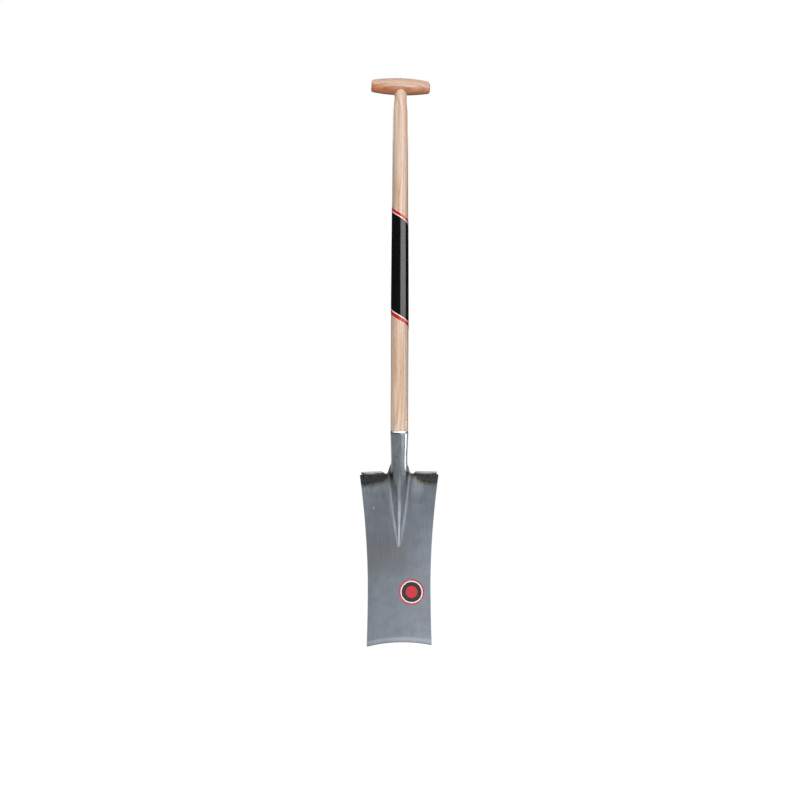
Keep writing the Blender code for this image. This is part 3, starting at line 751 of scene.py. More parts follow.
class SteelRecipe(Recipe):
    """The blade's material under construction, one layer over another."""

    def __init__(self, look: ForgedSteel, layout: Layout, blade: "Blade") -> None:
        """Starts the material, with the noises and masks that its layers share.

        Args:
            look: Colours and masks.
            layout: Heights of the shoulders and the rim.
            blade: The blade, for the outline of its frog.
        """
        super().__init__("forged_steel_ground_lacquered")
        self.look, self.layout = look, layout
        node = self.node
        self.x, _, self.z = node(SPLIT, [self.place]).outputs
        facing = node(SPLIT, [node("ShaderNodeNewGeometry").outputs["Normal"]]).outputs["Y"]
        self.front = node(MATH, [facing, 0.0], operation="LESS_THAN")
        self.right = node(MATH, [self.x, look.right_side], operation="GREATER_THAN")
        self.streak = self.grained(look.streak, 3.0, 0.55)
        self.scratch = self.grained(look.scratch, 2.0, 0.6)
        self.mottle = self.grained(look.mottle, 4.0, 0.6)
        self.speck = self.grained(look.speck, 5.0, 0.7)
        self.flake = self.grained(look.flake, 4.0, 0.68)
        self.jag = node(MATH, [self.flake, 0.5], operation="SUBTRACT")
        self.drawn = self.total(self.x, (self.grained(look.cloud, 3.0, 0.55), look.cloud_pull))

        # The frog: the share of its length from its tip, and the distance out from its foot.
        self.share = node(RANGE, [self.z, layout.shoulder - blade.frog_length, layout.shoulder])
        reach = node(MATH, [self.share, blade.frog_taper], operation="POWER")
        self.apart = node(MATH, [self.x], operation="ABSOLUTE")
        out = node(MATH, [self.apart, self.product(reach, blade.frog_reach)], operation="SUBTRACT")
        self.off_frog = self.total(out, (self.jag, look.frog_jag))
        past = [self.mask((self.off_frog, look.frog_edge)), self.mask((self.share, look.frog_tip))]
        self.wing = node(MATH, past, operation="MAXIMUM")
        width = node(MATH, [self.mask((self.z, look.tongue_width)), self.apart], operation="ADD")
        self.tongue = self.mask((width, look.tongue_edge), (self.z, look.tongue_start))
        rolled = self.mask((self.share, look.rolled))
        on_wing = self.product(self.mask((self.apart, look.wings)), self.wing)
        self.rolled = node(MIX, {"Factor": on_wing, "A": rolled, "B": 1.0})

    def shaded(self) -> Node:
        """Adds the streaked steel, with painted light and shade by place and a rubbed patch.

        Returns:
            Its colour.
        """
        look, node = self.look, self.node
        tone = self.total(0.0, (self.streak, 0.38), (self.mottle, 0.62))
        steel = node(RAMP, [tone], ((0.34, look.dark), (0.66, look.light)))
        off_tongue = self.total(1.0, (self.tongue, -1.0))
        # Painted light: the frog brighter than the sheet, its right flank most.
        flank = self.mask((self.x, look.flanks), (self.share, look.flanks_end))
        flank = self.product(flank, off_tongue)
        drag = node(MATH, [self.grained(look.drag, 3.0, 0.6), 0.5], operation="SUBTRACT")
        flank = self.total(1.0, (flank, 1.0), (drag, 0.9), (self.jag, 0.6))
        # Painted shade on both sides of the neck's middle line.
        cheek = self.product(
            self.near(self.x, look.cheek_line, look.cheek_edge),
            self.mask((self.x, look.cheeks), (self.z, look.cheek_end)),
            self.tongue,
        )
        # Painted shade right of the frog's foot.
        groove = self.product(
            self.near(self.off_frog, look.groove_line, look.groove),
            self.mask((self.share, look.groove_start)),
            self.right,
        )
        rub = self.total(self.oval(*look.rub), (self.jag, look.rub_jag))
        rub = self.mask((rub, look.rub_edge))
        # Painted shade across the sheet: darker on the left, brighter on the right.
        sheet = self.mask((self.drawn, look.across))
        worn = self.product(
            node(MIX, {"Factor": self.wing, "A": flank, "B": sheet}),
            node(RAMP, [self.z], look.upwards),
            self.rolled,
            self.total(1.0, (cheek, -1.0)),
            self.total(1.0, (groove, -1.0)),
            self.total(1.0, (rub, self.front)),
        )
        return node(VECTOR_MATH, {"Vector": steel, "Scale": worn}, operation="SCALE")

    def stained(self, steel: Value) -> Node:
        """Adds the stains of use and heat.

        Args:
            steel: Colour of what lies under it.

        Returns:
            The colour.
        """
        look, node = self.look, self.node
        sheet_end = (self.layout.shoulder + 0.010, self.layout.shoulder - 0.004)
        band = node(MATH, [self.z, look.stain_height], operation="SUBTRACT")
        band = self.total(node(MATH, [band], operation="ABSOLUTE"), (self.jag, look.band_jag))
        patches = self.product(
            self.total(0.5, (self.mask((self.mottle, look.stain)), 0.5)),
            node(RANGE, [self.drawn, *look.stain_left], interpolation_type="SMOOTHSTEP"),
            node(RANGE, [band, *look.stain_band], interpolation_type="SMOOTHSTEP"),
        )
        on_frog = self.product(
            self.mask((self.share, look.hotter), (self.z, sheet_end)),
            self.total(1.0, (self.wing, -1.0)),
            self.total(1.0, (self.tongue, -0.55)),
        )
        on_neck = self.mask((self.rolled, look.neck_browned))
        stain = node(MATH, [patches, on_frog], operation="MAXIMUM")
        stain = node(MATH, [stain, on_neck], operation="MAXIMUM")
        colour = {"Factor": on_frog, "A": look.stained, "B": look.browned}
        mixed = {"Factor": stain, "A": steel, "B": node(MIX, colour, data_type="RGBA")}
        return node(MIX, mixed, data_type="RGBA", blend_type="MULTIPLY")

    def pressed(self, steel: Value) -> Node:
        """Adds painted highlights: broken bright lines along the foot of the frog and down its ridge.

        Args:
            steel: Colour of what lies under it.

        Returns:
            The colour.
        """
        look, node = self.look, self.node
        ridge = self.near(self.x, look.ridge_line, look.ridge)
        ridge = self.product(ridge, self.mask((self.share, look.ridge_end)))
        foot = self.near(self.off_frog, look.foot_line, look.foot)
        foot = self.product(foot, self.mask((self.share, look.foot_end), (self.x, look.foot_sides)))
        second = self.product(self.near(self.off_frog, look.second_line, look.second), self.right)
        foot = node(MATH, [foot, second], operation="MAXIMUM")
        lines = self.product(
            node(MATH, [ridge, foot], operation="MAXIMUM"),
            self.mask((self.share, look.line_start), (self.flake, look.line_gaps)),
            self.front,
        )
        return node(MIX, {"Factor": lines, "A": steel, "B": look.bright}, data_type="RGBA")

    def scaled(self, steel: Value) -> tuple[Node, Node]:
        """Adds the heat scale, whose lower edge follows the zone and is broken up by noise.

        Args:
            steel: Colour of what lies under it.

        Returns:
            The colour, and the mask of the scale's black crust.
        """
        look, node, shoulder = self.look, self.node, self.layout.shoulder
        zone = node(RAMP, [self.mask((self.x, look.zone_width))], look.zone)
        zone.color_ramp.interpolation = "EASE"
        depth = self.total(-shoulder - look.zone_rise, (zone, look.zone_depth))
        depth = node(MATH, [depth, self.z], operation="ADD")
        depth = self.total(depth, (self.jag, look.zone_jag))
        sheet_end = (shoulder + 0.003, shoulder - 0.002)
        heat = self.product(
            self.mask((depth, look.zone_edge), (self.apart, look.zone_sides)),
            node(RANGE, [self.z, *sheet_end], interpolation_type="SMOOTHSTEP"),
        )
        scale = self.mask((heat, look.scale))
        tint = node(RAMP, [heat], look.heat)
        grey, warm = node("ShaderNodeRGBToBW", [tint]), self.mask((self.x, look.warmth))
        tint = node(MIX, {"Factor": warm, "A": grey, "B": tint}, data_type="RGBA")
        arc = self.product(
            self.near(self.x, look.arc_line, look.arc),
            self.near(heat, look.arc_heat, look.arc_width),
            self.front,
        )
        tint = node(MIX, {"Factor": arc, "A": tint, "B": look.rust}, data_type="RGBA")
        fleck = self.total(0.0, (self.flake, 0.6), (self.speck, 0.4), (self.x, 1.8))
        flecked = {"Factor": scale, "A": tint, "B": node(RAMP, [fleck], look.flecks)}
        tint = node(MIX, flecked, data_type="RGBA", blend_type="MULTIPLY")
        tinted = {"Factor": 1.0, "A": steel, "B": tint}
        return node(MIX, tinted, data_type="RGBA", blend_type="MULTIPLY"), scale

    def ground(self, steel: Value) -> Node:
        """Adds ground metal: a band that follows the arch of the edge, and the socket's rim.

        Args:
            steel: Colour of what lies under it.

        Returns:
            The colour.
        """
        look, node, rim = self.look, self.node, self.layout.rim
        bow = self.product(self.x, self.x)
        bow = self.total(-look.edge_arch, (bow, look.edge_arch / look.edge_half_width**2))
        above = node(MATH, [self.z, bow], operation="ADD")
        above = self.total(above, (self.jag, look.edge_jag))
        edge = self.mask((above, look.edge), (above, look.edge_low), (self.drawn, look.edge_sides))
        top = self.mask((self.z, [rim - depth for depth in look.rim_depths]))
        mask = node(MATH, [self.product(edge, self.front), top], operation="MAXIMUM")
        lines = node(RAMP, [self.scratch], ((0.3, look.light), (0.7, look.bright)))
        steel = node(MIX, {"Factor": mask, "A": steel, "B": lines}, data_type="RGBA")
        burr = {"Factor": self.mask((above, look.burr_edge)), "A": steel, "B": look.burr}
        return node(MIX, burr, data_type="RGBA")

    def build(self) -> Material:
        """Builds the layers, a nick in the lacquer left of the frog, the gloss and the relief.

        Returns:
            The material.
        """
        look, node = self.look, self.node
        steel, scale = self.scaled(self.pressed(self.stained(self.shaded())))
        nick = self.product(self.mask((self.oval(*look.nick), look.nick_edge)), self.front)
        colour = {"Factor": nick, "A": self.ground(steel), "B": look.bright}
        crust = self.product(self.speck, scale)
        relief = self.total(0.0, (self.scratch, 0.12), (self.mottle, 0.7), (crust, 7.0), (nick, -2.0))
        inputs = {
            "Base Color": node(MIX, colour, data_type="RGBA"),
            "Roughness": self.total(self.mask((self.streak, look.roughness)), (scale, 0.26)),
            "Metallic": self.total(1.0, (scale, -0.45)),
            "Coat Weight": 0.5,
            "Coat Roughness": 0.09,
        }
        return self.finish(inputs, relief, look.relief)


@dataclass(frozen=True)
class ScaledSteel:
    """Tread plate: bar steel, sheared and welded on, still black with mill and heat scale.

    The eye sees a rough blue-black crust, with paler metal on the top face and its edges
    and, on one tread, a paler lens on the front: partly wear, partly painted highlight.
    """

    name: str
    patch: Point  # X of the middle, half the length and half the height of the paler lens: partly clean metal, partly painted highlight
    crust: str = "#2e2f31"
    pale: str = "#505254"
    # Pale metal of the top face and the lens: partly wear, partly painted highlight.
    worn: str = "#8f9193"
    lump: float = 0.005
    grit: float = 0.0008
    lens_edge: Span = (1.4, 1.0)
    roughness: Span = (0.0, 1.0, 0.56, 0.42)  # by the pale top and lens
    metallic: Span = (0.0, 1.0, 0.5, 0.95)
    relief: float = 0.0003

    def material(self, top: float, front_middle: float) -> Material:
        """Builds the material.

        Args:
            top: Height of the top face.
            front_middle: Height of the middle of the front face.

        Returns:
            The material.
        """
        made = Recipe(self.name)
        node = made.node
        z = node(SPLIT, [made.place]).outputs["Z"]
        middle, half, tall = self.patch
        lumps = made.grained((self.lump,) * 3, 5.0, 0.65)
        grit = made.grained((self.grit,) * 3, 3.0, 0.6)
        crust = node(RAMP, [lumps], ((0.36, self.crust), (0.68, self.pale)))
        # The top face and the front lens: partly wear, partly painted highlight.
        high = made.mask((made.total(z, (lumps, 0.0012)), (top - 0.0004, top + 0.0006)))
        lens = made.total(made.oval(middle, front_middle, half, tall), (lumps, 0.8))
        lens = made.mask((lens, self.lens_edge))
        bare = node(MATH, [high, lens], operation="MAXIMUM")
        inputs = {
            "Base Color": node(MIX, {"Factor": bare, "A": crust, "B": self.worn}, data_type="RGBA"),
            "Roughness": made.mask((bare, self.roughness)),
            "Metallic": made.mask((bare, self.metallic)),
        }
        return made.finish(inputs, made.total(lumps, (grit, 0.3)), self.relief)


@dataclass(frozen=True)
class WeldOxide:
    """Arc-welded bead: the eye sees dark rippled metal with straw, brown and blue oxide tints."""

    tints: Stops = (
        (0.30, "#28282a"), (0.42, "#3b424b"), (0.52, "#4c4e50"), (0.64, "#5d4f41"), (0.75, "#28282a"),
    )
    patch: float = 0.009
    grit: float = 0.0012
    roughness: Span = (0.0, 1.0, 0.34, 0.52)
    relief: float = 0.0001

    def material(self) -> Material:
        """Builds the material.

        Returns:
            The material.
        """
        made = Recipe("weld_bead_oxidised")
        grit = made.grained((self.grit,) * 3, 4.0, 0.6)
        inputs = {
            "Base Color": made.node(RAMP, [made.grained((self.patch,) * 3, 3.0, 0.55)], self.tints),
            "Roughness": made.mask((grit, self.roughness)),
            "Metallic": 0.8,
        }
        return made.finish(inputs, grit, self.relief)


@dataclass(frozen=True)
class NailSteel:
    """Nail head: steel wire, hammered flat: the eye sees a dull grey spot with brighter marks."""

    tints: Stops = ((0.38, "#6a6e74"), (0.62, "#8f949b"))  # tarnish and metal
    mark: float = 0.0012
    roughness: Span = (0.0, 1.0, 0.45, 0.30)
    relief: float = 0.0001

    def material(self) -> Material:
        """Builds the material.

        Returns:
            The material.
        """
        made = Recipe("nail_steel_hammered")
        marks = made.grained((self.mark,) * 3, 4.0)
        inputs = {
            "Base Color": made.node(RAMP, [marks], self.tints),
            "Roughness": made.mask((marks, self.roughness)),
            "Metallic": 1.0,
        }
        return made.finish(inputs, marks, self.relief)


@dataclass(frozen=True)
class LacqueredAsh:
    """Ash, turned, sanded and clear-lacquered.

    The eye sees growth rings as long lines and arches, darker porous early wood, fine pores
    drawn out along the grain, broad soft streaks and a gloss over all of it. On a piece that
    lies across, painted shade makes the underside and the ends warmer and darker, with a band
    under it and a thinner one along its top front edge.
    """

    name: str
    grain: Grain
    middle: Point  # a point on the piece's own axis
    pale: str
    warm: str
    early: str
    pore: str
    pith: tuple[float, float] = (0.031, 0.047)  # heart of the tree, from the axis, across the grain
    ring: float = 0.0036  # growth in a year
    ring_strength: float = 0.55
    year: Stops = ((0.0, 0.75), (0.10, 1.0), (0.34, 0.45), (0.85, 0.0), (1.0, 0.75))
    wander_reach: float = 0.016
    wander: Point = (0.05, 0.05, 0.30)  # sizes of noise across the grain, across it and along it
    streak: Point = (0.0050, 0.0050, 0.17)
    fibre: Point = (0.0009, 0.0009, 0.035)
    pores: Point = (0.00035, 0.00035, 0.007)  # a little coarser than real ones, so that they show
    warm_streaks: Span = (0.36, 0.64)
    pits: Span = (0.57, 0.66)
    heart: str = "#b96837"  # painted shade: warmer and darker on the underside of a piece that lies across
    heart_share: float = 0.0
    heart_edge: Span = (0.0085, -0.0060)
    heart_ends: Span = (0.0570, 0.0600)
    grime: Stops = ((0.0, 0.0), (1.0, 0.0))  # painted shade, once round from the back by the underside: a band under the piece and a thinner one along its top front edge
    dirt: str = "#6a3f2a"
    knots: Sequence[Point] = ()  # X, Z and radius of pin knots on the front
    knot: str = "#7d5139"
    knot_edge: Span = (1.3, 0.4)
    roughness: Span = (0.0, 1.0, 0.40, 0.52)
    relief: float = 0.00004

    def material(self) -> Material:
        """Builds the material.

        Returns:
            The material.
        """
        made = Recipe(self.name)
        node = made.node
        moved = node(VECTOR_MATH, [made.place, self.middle], operation="SUBTRACT")
        x, y, z = node(SPLIT, [moved]).outputs
        along, side = (z, x) if self.grain is Grain.UPRIGHT else (x, z)
        in_log = node(JOIN, [side, y, along])

        # Rings round the heart, which wanders along the log.
        wander = made.grained(self.wander, 2.0, 0.5, in_log)
        span = node(VECTOR_MATH, [in_log, (*self.pith, 0.0)], operation="SUBTRACT")
        span = node(VECTOR_MATH, [span, (1.0, 1.0, 0.0)], operation="MULTIPLY")
        span = node(VECTOR_MATH, [span], operation="LENGTH").outputs["Value"]
        span = made.total(span, (wander, self.wander_reach))
        years = node(MATH, [span, self.ring], operation="DIVIDE")
        rings = node(RAMP, [node(MATH, [years], operation="FRACT")], self.year)
        streak = made.grained(self.streak, 2.0, 0.5, in_log)
        fibre = made.grained(self.fibre, 3.0, 0.6, in_log)
        pores = made.grained(self.pores, 1.0, 0.5, in_log)

        # Each mask lays its colour over the wood.
        ends = node(MATH, [along], operation="ABSOLUTE")
        # Painted shade: warmer and darker on the underside and at the ends of a piece that lies
        # across.
        bound = made.total(side, (ends, -0.06), (along, 0.045), (streak, 0.020))
        edge = [bound, *self.heart_edge, 0.0, self.heart_share]
        old = node(RANGE, edge, interpolation_type="SMOOTHSTEP")
        end = made.mask((ends, (*self.heart_ends, 0.0, self.heart_share)))
        dark = made.total(-0.35, (fibre, 0.7))
        dark = node(MATH, [rings, self.ring_strength, dark], operation="MULTIPLY_ADD", use_clamp=True)
        pit = made.product(made.mask((pores, self.pits)), rings, 0.85)
        # Painted shade in bands round the piece, by the turn from the front.
        to_front = node(MATH, [y, -1.0], operation="MULTIPLY")
        turn = node(MATH, [side, to_front], operation="ARCTAN2")
        turn = made.total(made.mask((turn, (-math.pi, math.pi))), (streak, 0.02))
        in_front = node(MATH, [y, 0.0], operation="LESS_THAN")
        layers = [
            (made.mask((streak, self.warm_streaks)), self.warm),
            (node(MATH, [old, end], operation="MAXIMUM"), self.heart),
            (dark, self.early),
            (pit, self.pore),
            (node(RAMP, [turn], self.grime), self.dirt),
        ]
        for at_x, at_z, radius in self.knots:
            spot = made.mask((made.oval(at_x, at_z, 1.6 * radius, radius), self.knot_edge))
            layers.append((made.product(spot, in_front), self.knot))
        wood = self.pale
        for mask, colour in layers:
            wood = node(MIX, {"Factor": mask, "A": wood, "B": colour}, data_type="RGBA")
        inputs = {
            "Base Color": wood,
            "Roughness": made.mask((fibre, self.roughness)),
            "Specular IOR Level": 0.15,
            "Coat Weight": 1.0,
            "Coat Roughness": 0.20,
        }
        return made.finish(inputs, made.total(0.0, (fibre, 0.5), (pit, -1.0)), self.relief)


@dataclass(frozen=True)
class BeechEndGrain:
    """Beech wedge, cut flush: the eye sees dark end grain with short flecks across it."""

    tints: Stops = ((0.40, "#5b3020"), (0.62, "#8b5a42"))  # fleck and flesh
    fleck: Point = (0.0003, 0.0012, 0.01)
    relief: float = 0.00005

    def material(self) -> Material:
        """Builds the material.

        Returns:
            The material.
        """
        made = Recipe("beech_wedge_cut_flush")
        flecks = made.grained(self.fleck, 3.0)
        inputs = {
            "Base Color": made.node(RAMP, [flecks], self.tints),
            "Roughness": 0.55,
            "Coat Weight": 0.4,
            "Coat Roughness": 0.2,
        }
        return made.finish(inputs, flecks, self.relief)


@dataclass(frozen=True)
class PrintedFilm:
    """Label: polypropylene film, printed black with plain red and cream stripes at its ends.

    The eye sees a deep black with a soft bright band of reflected light, a little uneven
    where the film lies over the grain.
    """

    black: str = "#060607"
    red: str = "#c01a2a"
    cream: str = "#f0e4da"
    low_red: float = 0.0070
    low_cream: float = 0.0024
    high_red: float = 0.0060
    high_cream: float = 0.0030
    wave: Point = (0.006, 0.006, 0.05)
    roughness: Span = (0.0, 1.0, 0.16, 0.22)
    relief: float = 0.00012

    def material(self, height: float) -> Material:
        """Builds the material, which reads the film's UV map: V runs up from its lower edge.

        Args:
            height: Height of the film.

        Returns:
            The material.
        """
        made = Recipe("polypropylene_film_printed")
        node = made.node
        up = node(SPLIT, [node("ShaderNodeUVMap", uv_map="film")]).outputs["Y"]
        low, high = self.low_red, height - self.high_red
        ends = (0.0, low, low + self.low_cream, high - self.high_cream, high)
        colours = (self.red, self.cream, self.black, self.cream, self.red)
        stripes = node(RAMP, [up], [(end / height, colour) for end, colour in zip(ends, colours)])
        stripes.color_ramp.interpolation = "CONSTANT"
        waves = made.grained(self.wave, 2.0)
        inputs = {
            "Base Color": stripes,
            "Roughness": made.mask((waves, self.roughness)),
            "Coat Weight": 1.0,
            "Coat Roughness": 0.10,
        }
        return made.finish(inputs, waves, self.relief)


@dataclass(frozen=True)
class GlossyPaper:
    """Sticker: coated paper, printed and varnished: the eye sees plain rings under a soft gloss."""

    rings: Stops = (  # by the share of the radius
        (0.0, "#c42537"), (0.47, "#161415"), (0.80, "#f3eeec"), (0.89, "#c42537"),
    )
    fibre: float = 0.0015
    relief: float = 0.00002

    def material(self) -> Material:
        """Builds the material, which reads the sticker's UV map: U is the share of the radius.

        Returns:
            The material.
        """
        made = Recipe("coated_paper_printed")
        node = made.node
        out = node(SPLIT, [node("ShaderNodeUVMap", uv_map="rings")]).outputs["X"]
        rings = node(RAMP, [out], self.rings)
        rings.color_ramp.interpolation = "CONSTANT"
        inputs = {"Base Color": rings, "Roughness": 0.34, "Coat Weight": 0.6, "Coat Roughness": 0.12}
        return made.finish(inputs, made.grained((self.fibre,) * 3, 4.0), self.relief)


@dataclass(frozen=True)
class PaleFloor:
    """Studio floor: a pale sweep of paper that glows evenly from below and fades out at its rim.

    The eye sees white with the faintest shadow; polished steel sees it brightest close by.
    """

    glow: float = 0.97
    shadow_share: float = 0.10
    near: float = 0.80
    far: float = 0.42
    dim: float = 0.14  # light that the floor gives to the wood
    middle: Point = (-0.30, -0.30, 0.0)  # brightest place
    near_reach: tuple[float, float] = (0.1, 2.4)
    solid_radius: float = 1.3
    radius: float = 2.6

    def material(self) -> Material:
        """Builds the material: its light differs for what looks at it, as a lit sweep's does.

        Returns:
            The material.
        """
        made = bpy.data.materials.new("paper_sweep_pale")
        made.use_nodes = True
        made.node_tree.nodes.clear()
        node = partial(add_node, made.node_tree)
        place = node("ShaderNodeTexCoord").outputs["Object"]
        out = node(VECTOR_MATH, [place], operation="LENGTH").outputs["Value"]
        fade = node(RANGE, [out, self.radius, self.solid_radius], interpolation_type="SMOOTHERSTEP")
        away = node(VECTOR_MATH, [place, self.middle], operation="DISTANCE").outputs["Value"]
        span = (*self.near_reach, self.near, self.far)
        polished = node(RANGE, [away, *span], interpolation_type="SMOOTHSTEP")
        ray = node("ShaderNodeLightPath").outputs
        strength = node(MIX, {"Factor": ray["Is Glossy Ray"], "A": self.dim, "B": polished})
        strength = node(MIX, {"Factor": ray["Is Camera Ray"], "A": strength, "B": self.glow})
        paper = node("ShaderNodeBsdfDiffuse", {"Color": linear(self.shadow_share)})
        light = node("ShaderNodeEmission", {"Strength": strength})
        both = node("ShaderNodeAddShader", [paper, light])
        mixed = node("ShaderNodeMixShader", [fade, node("ShaderNodeBsdfTransparent"), both])
        node("ShaderNodeOutputMaterial", {"Surface": mixed})
        return made


@dataclass
class Blade:
    """The blade, its frog and its rolled socket: one sheet, pressed and rolled."""

    layout: Layout
    socket: Socket
    dish: Dish
    top_width: float = 0.1620
    waist_width: float = 0.1285
    edge_width: float = 0.1328
    within: float = 0.0000002  # keeps the sheet inside the CAD model's box
    waist_height: float = 0.117
    side_curve: float = 1.87
    corner_radius: float = 0.0025
    edge_arch: float = 0.0038
    grind_length: float = 0.011
    grind_thickness: float = 0.0007
    frog_length: float = 0.150
    frog_lead: float = 0.12
    frog_nose: float = 0.8
    frog_reach: float = 0.0270
    frog_taper: float = 0.7
    crest_radius: float = 0.0034
    crest_fade: float = 6.0
    foot_radius: float = 0.0100
    foot_tip_radius: float = 0.0050
    rim_chamfer: float = 0.0030
    rim_thickness: float = 0.0010
    seam_gap: float = 0.0012
    arch_height: float = 0.040
    flare_height: float = 0.034
    notch_reach: float = 0.0285
    notch_depth: float = 0.0065
    notch_height: float = 0.0045
    centre_columns: int = 42
    wing_columns: int = 18
    finish: ForgedSteel = field(default_factory=ForgedSteel)

    def half_width(self, height: float) -> float:
        """Gives half the blade's width, with its corners rounded.

        Args:
            height: The height.

        Returns:
            Half the width there.
        """
        waist = self.waist_width / 2
        if height > self.waist_height:
            share = (height - self.waist_height) / (self.layout.shoulder - self.waist_height)
            width = waist + (self.top_width / 2 - waist) * share**self.side_curve
        else:
            share = 1 - height / self.waist_height
            width = waist + (self.edge_width / 2 - waist) * share**self.side_curve
        corner = self.corner_radius
        inset = corner - min(height, self.layout.shoulder - height, corner)
        return width - corner + math.sqrt(corner**2 - inset**2) - self.within

    def crest_fall(self, share: float) -> float:
        """Gives the share of its fall that the crest has made at a share of the frog's length.

        Args:
            share: Share of the length, from the shoulders.

        Returns:
            Share of the fall.
        """
        rise = self.socket.neck_diameter / 2 + self.dish.setting
        upright = math.tan(math.radians(self.dish.lean)) * self.frog_length / (rise * self.frog_nose)
        lead = min(share, self.frog_lead)
        fall = upright * lead + (1 - upright) * lead * lead / (2 * self.frog_lead) + share - lead
        return min(fall / (self.frog_lead * (upright - 1) / 2 + 1), 1.0)

    def frog_section(self, height: float) -> tuple[float, float, float, float, float]:
        """Gives the section of the frog.

        Args:
            height: Height of the section.

        Returns:
            Crest radius, foot radius, slope of the flanks, their length and Y of the crest's centre.
        """
        shoulder = self.layout.shoulder
        share = min(max((shoulder - height) / self.frog_length, 0.0), 1.0)
        fall = self.crest_fall(share)
        rise = (self.socket.neck_diameter / 2 + self.dish.setting) * (1 - fall) ** self.frog_nose
        neck = self.socket.radius(height, self.layout)
        crest = self.crest_radius + (neck - self.crest_radius) * (1 - fall) ** self.crest_fade
        foot = self.foot_radius + (self.foot_tip_radius - self.foot_radius) * share
        bends = crest + foot
        reach = self.frog_reach * (1 - share) ** self.frog_taper
        spare = max(reach * reach - rise * (2 * bends - rise), 0.0)
        slope = 2 * math.atan2(rise, reach + math.sqrt(spare))
        slope = min(slope, math.acos(max(-1.0, 1 - rise / bends)))
        side = (rise - bends * (1 - math.cos(slope))) / max(math.sin(slope), 1e-6)
        depth = 0.0 if height >= shoulder else self.dish.depth(height, self.layout) - rise + crest
        return crest, foot, slope, max(side, 0.0), depth

    def back_skin(self, height: float, length: float) -> tuple[float, float]:
        """Follows the back of the sheet from the centre line.

        Args:
            height: Height of the section.
            length: Length along the skin.

        Returns:
            X and Y of the point, before the dish.
        """
        crest, foot, slope, side, depth = self.frog_section(height)
        crest -= self.socket.sheet
        foot += self.socket.sheet
        if length <= crest * slope:
            return crest * math.sin(length / crest), depth - crest * math.cos(length / crest)
        x, y = crest * math.sin(slope), depth - crest * math.cos(slope)
        length -= crest * slope
        straight = min(length, side)
        x, y = x + straight * math.cos(slope), y + straight * math.sin(slope)
        length -= straight
        turn = slope - min(length / foot, slope)
        x += foot * (math.sin(slope) - math.sin(turn))
        y += foot * (math.cos(turn) - math.cos(slope))
        return x + max(length - foot * slope, 0.0), y

    def centre_length(self, height: float) -> float:
        """Gives the length along the back skin of the strip with the frog, below the shoulders.

        Args:
            height: The height.

        Returns:
            The length.
        """
        crest, foot, slope, side, _ = self.frog_section(height)
        top_crest, top_foot, top_slope, top_side, _ = self.frog_section(self.layout.shoulder)
        half = (top_crest + top_foot) * math.sin(top_slope) + top_side * math.cos(top_slope)
        below_tip = max(0.0, 1 - height / (self.layout.shoulder - self.frog_length))
        spare = self.notch_reach - half + self.waist_width / 6 * below_tip
        return (crest + foot) * slope + side + spare

    def neck_length(self, height: float) -> float:
        """Gives the length along the back skin to the free edge, above the shoulders.

        Args:
            height: The height.

        Returns:
            The length.
        """
        start = self.centre_length(self.layout.shoulder)
        inside = self.socket.radius(height, self.layout) - self.socket.sheet
        closed = math.pi * inside - self.seam_gap / 2
        up = (height - self.layout.shoulder) / self.arch_height
        if up >= 1:
            return closed
        rise = min((height - self.layout.shoulder) / self.notch_height, 1.0)
        notched = start - self.notch_depth * math.sqrt(1 - (1 - rise) ** 2)
        return notched + (closed - start + self.notch_depth) * (1 - math.sqrt(1 - up * up))

    def strip_point(self, height: float, share: float) -> tuple[float, float]:
        """Gives X and Y on the back skin of the strip that holds the frog and the socket.

        Args:
            height: The height.
            share: Share of the strip, from the centre line.

        Returns:
            X and Y.
        """
        if height < self.layout.shoulder:
            x, y = self.back_skin(height, share * self.centre_length(height))
            return x, y - self.dish.sag(x)
        length = share * self.neck_length(height)
        open_x, open_y = self.back_skin(height, length)
        open_y -= self.dish.sag(open_x)
        radius = self.socket.radius(height, self.layout) - self.socket.sheet
        closed_x, closed_y = radius * math.sin(length / radius), -radius * math.cos(length / radius)
        closing = smooth_step((height - self.layout.shoulder) / self.flare_height)
        return open_x + (closed_x - open_x) * closing, open_y + (closed_y - open_y) * closing

    def sheet_point(self, height: float, column: int) -> Vector:
        """Gives a point on the back skin; columns past the centre strip lie on the wing.

        Args:
            height: The height.
            column: The column, below 0 on the left.

        Returns:
            The point.
        """
        side = -1.0 if column < 0 else 1.0
        column = abs(column)
        if column <= self.centre_columns:
            x, y = self.strip_point(height, column / self.centre_columns)
        else:
            inner, _ = self.strip_point(height, 1.0)
            share = (column - self.centre_columns) / self.wing_columns
            x = inner + (self.half_width(height) - inner) * share
            y = self.dish.depth(height, self.layout) + self.socket.sheet - self.dish.sag(x)
        low = max(0.0, 1 - height / self.waist_height)
        arch = self.edge_arch * (1 - (x / self.half_width(0.0)) ** 2) * low * low
        return Vector((side * x, y, height + arch))

    def rows(self) -> list[float]:
        """Gives the heights of the rows of the sheet, from the edge to the rim.

        Returns:
            The heights.
        """
        shoulder, rim, corner = self.layout.shoulder, self.layout.rim, self.corner_radius
        tip = shoulder - self.frog_length
        to_chamfer = rim - self.rim_chamfer
        rows = [0.0] + spread(0.0, corner, 5, 1.4) + spread(corner, self.grind_length, 6)
        rows += spread(self.grind_length, tip - self.crest_radius, 24)
        rows += spread(tip - self.crest_radius, tip + 0.004, 9)
        rows += spread(tip + 0.004, shoulder - corner, 56, 0.95)
        rows += [shoulder - corner * (1 - i / 4) ** 1.4 for i in range(1, 5)]
        turns = spread(0.0, math.pi / 2, 9)
        rows += [shoulder + self.notch_height * (1 - math.cos(turn)) for turn in turns]
        turns = spread(math.asin(self.notch_height / self.arch_height), math.pi / 2, 26)
        rows += [shoulder + self.arch_height * math.sin(turn) for turn in turns]
        return rows + spread(shoulder + self.arch_height, to_chamfer, 12) + spread(to_chamfer, rim, 3)

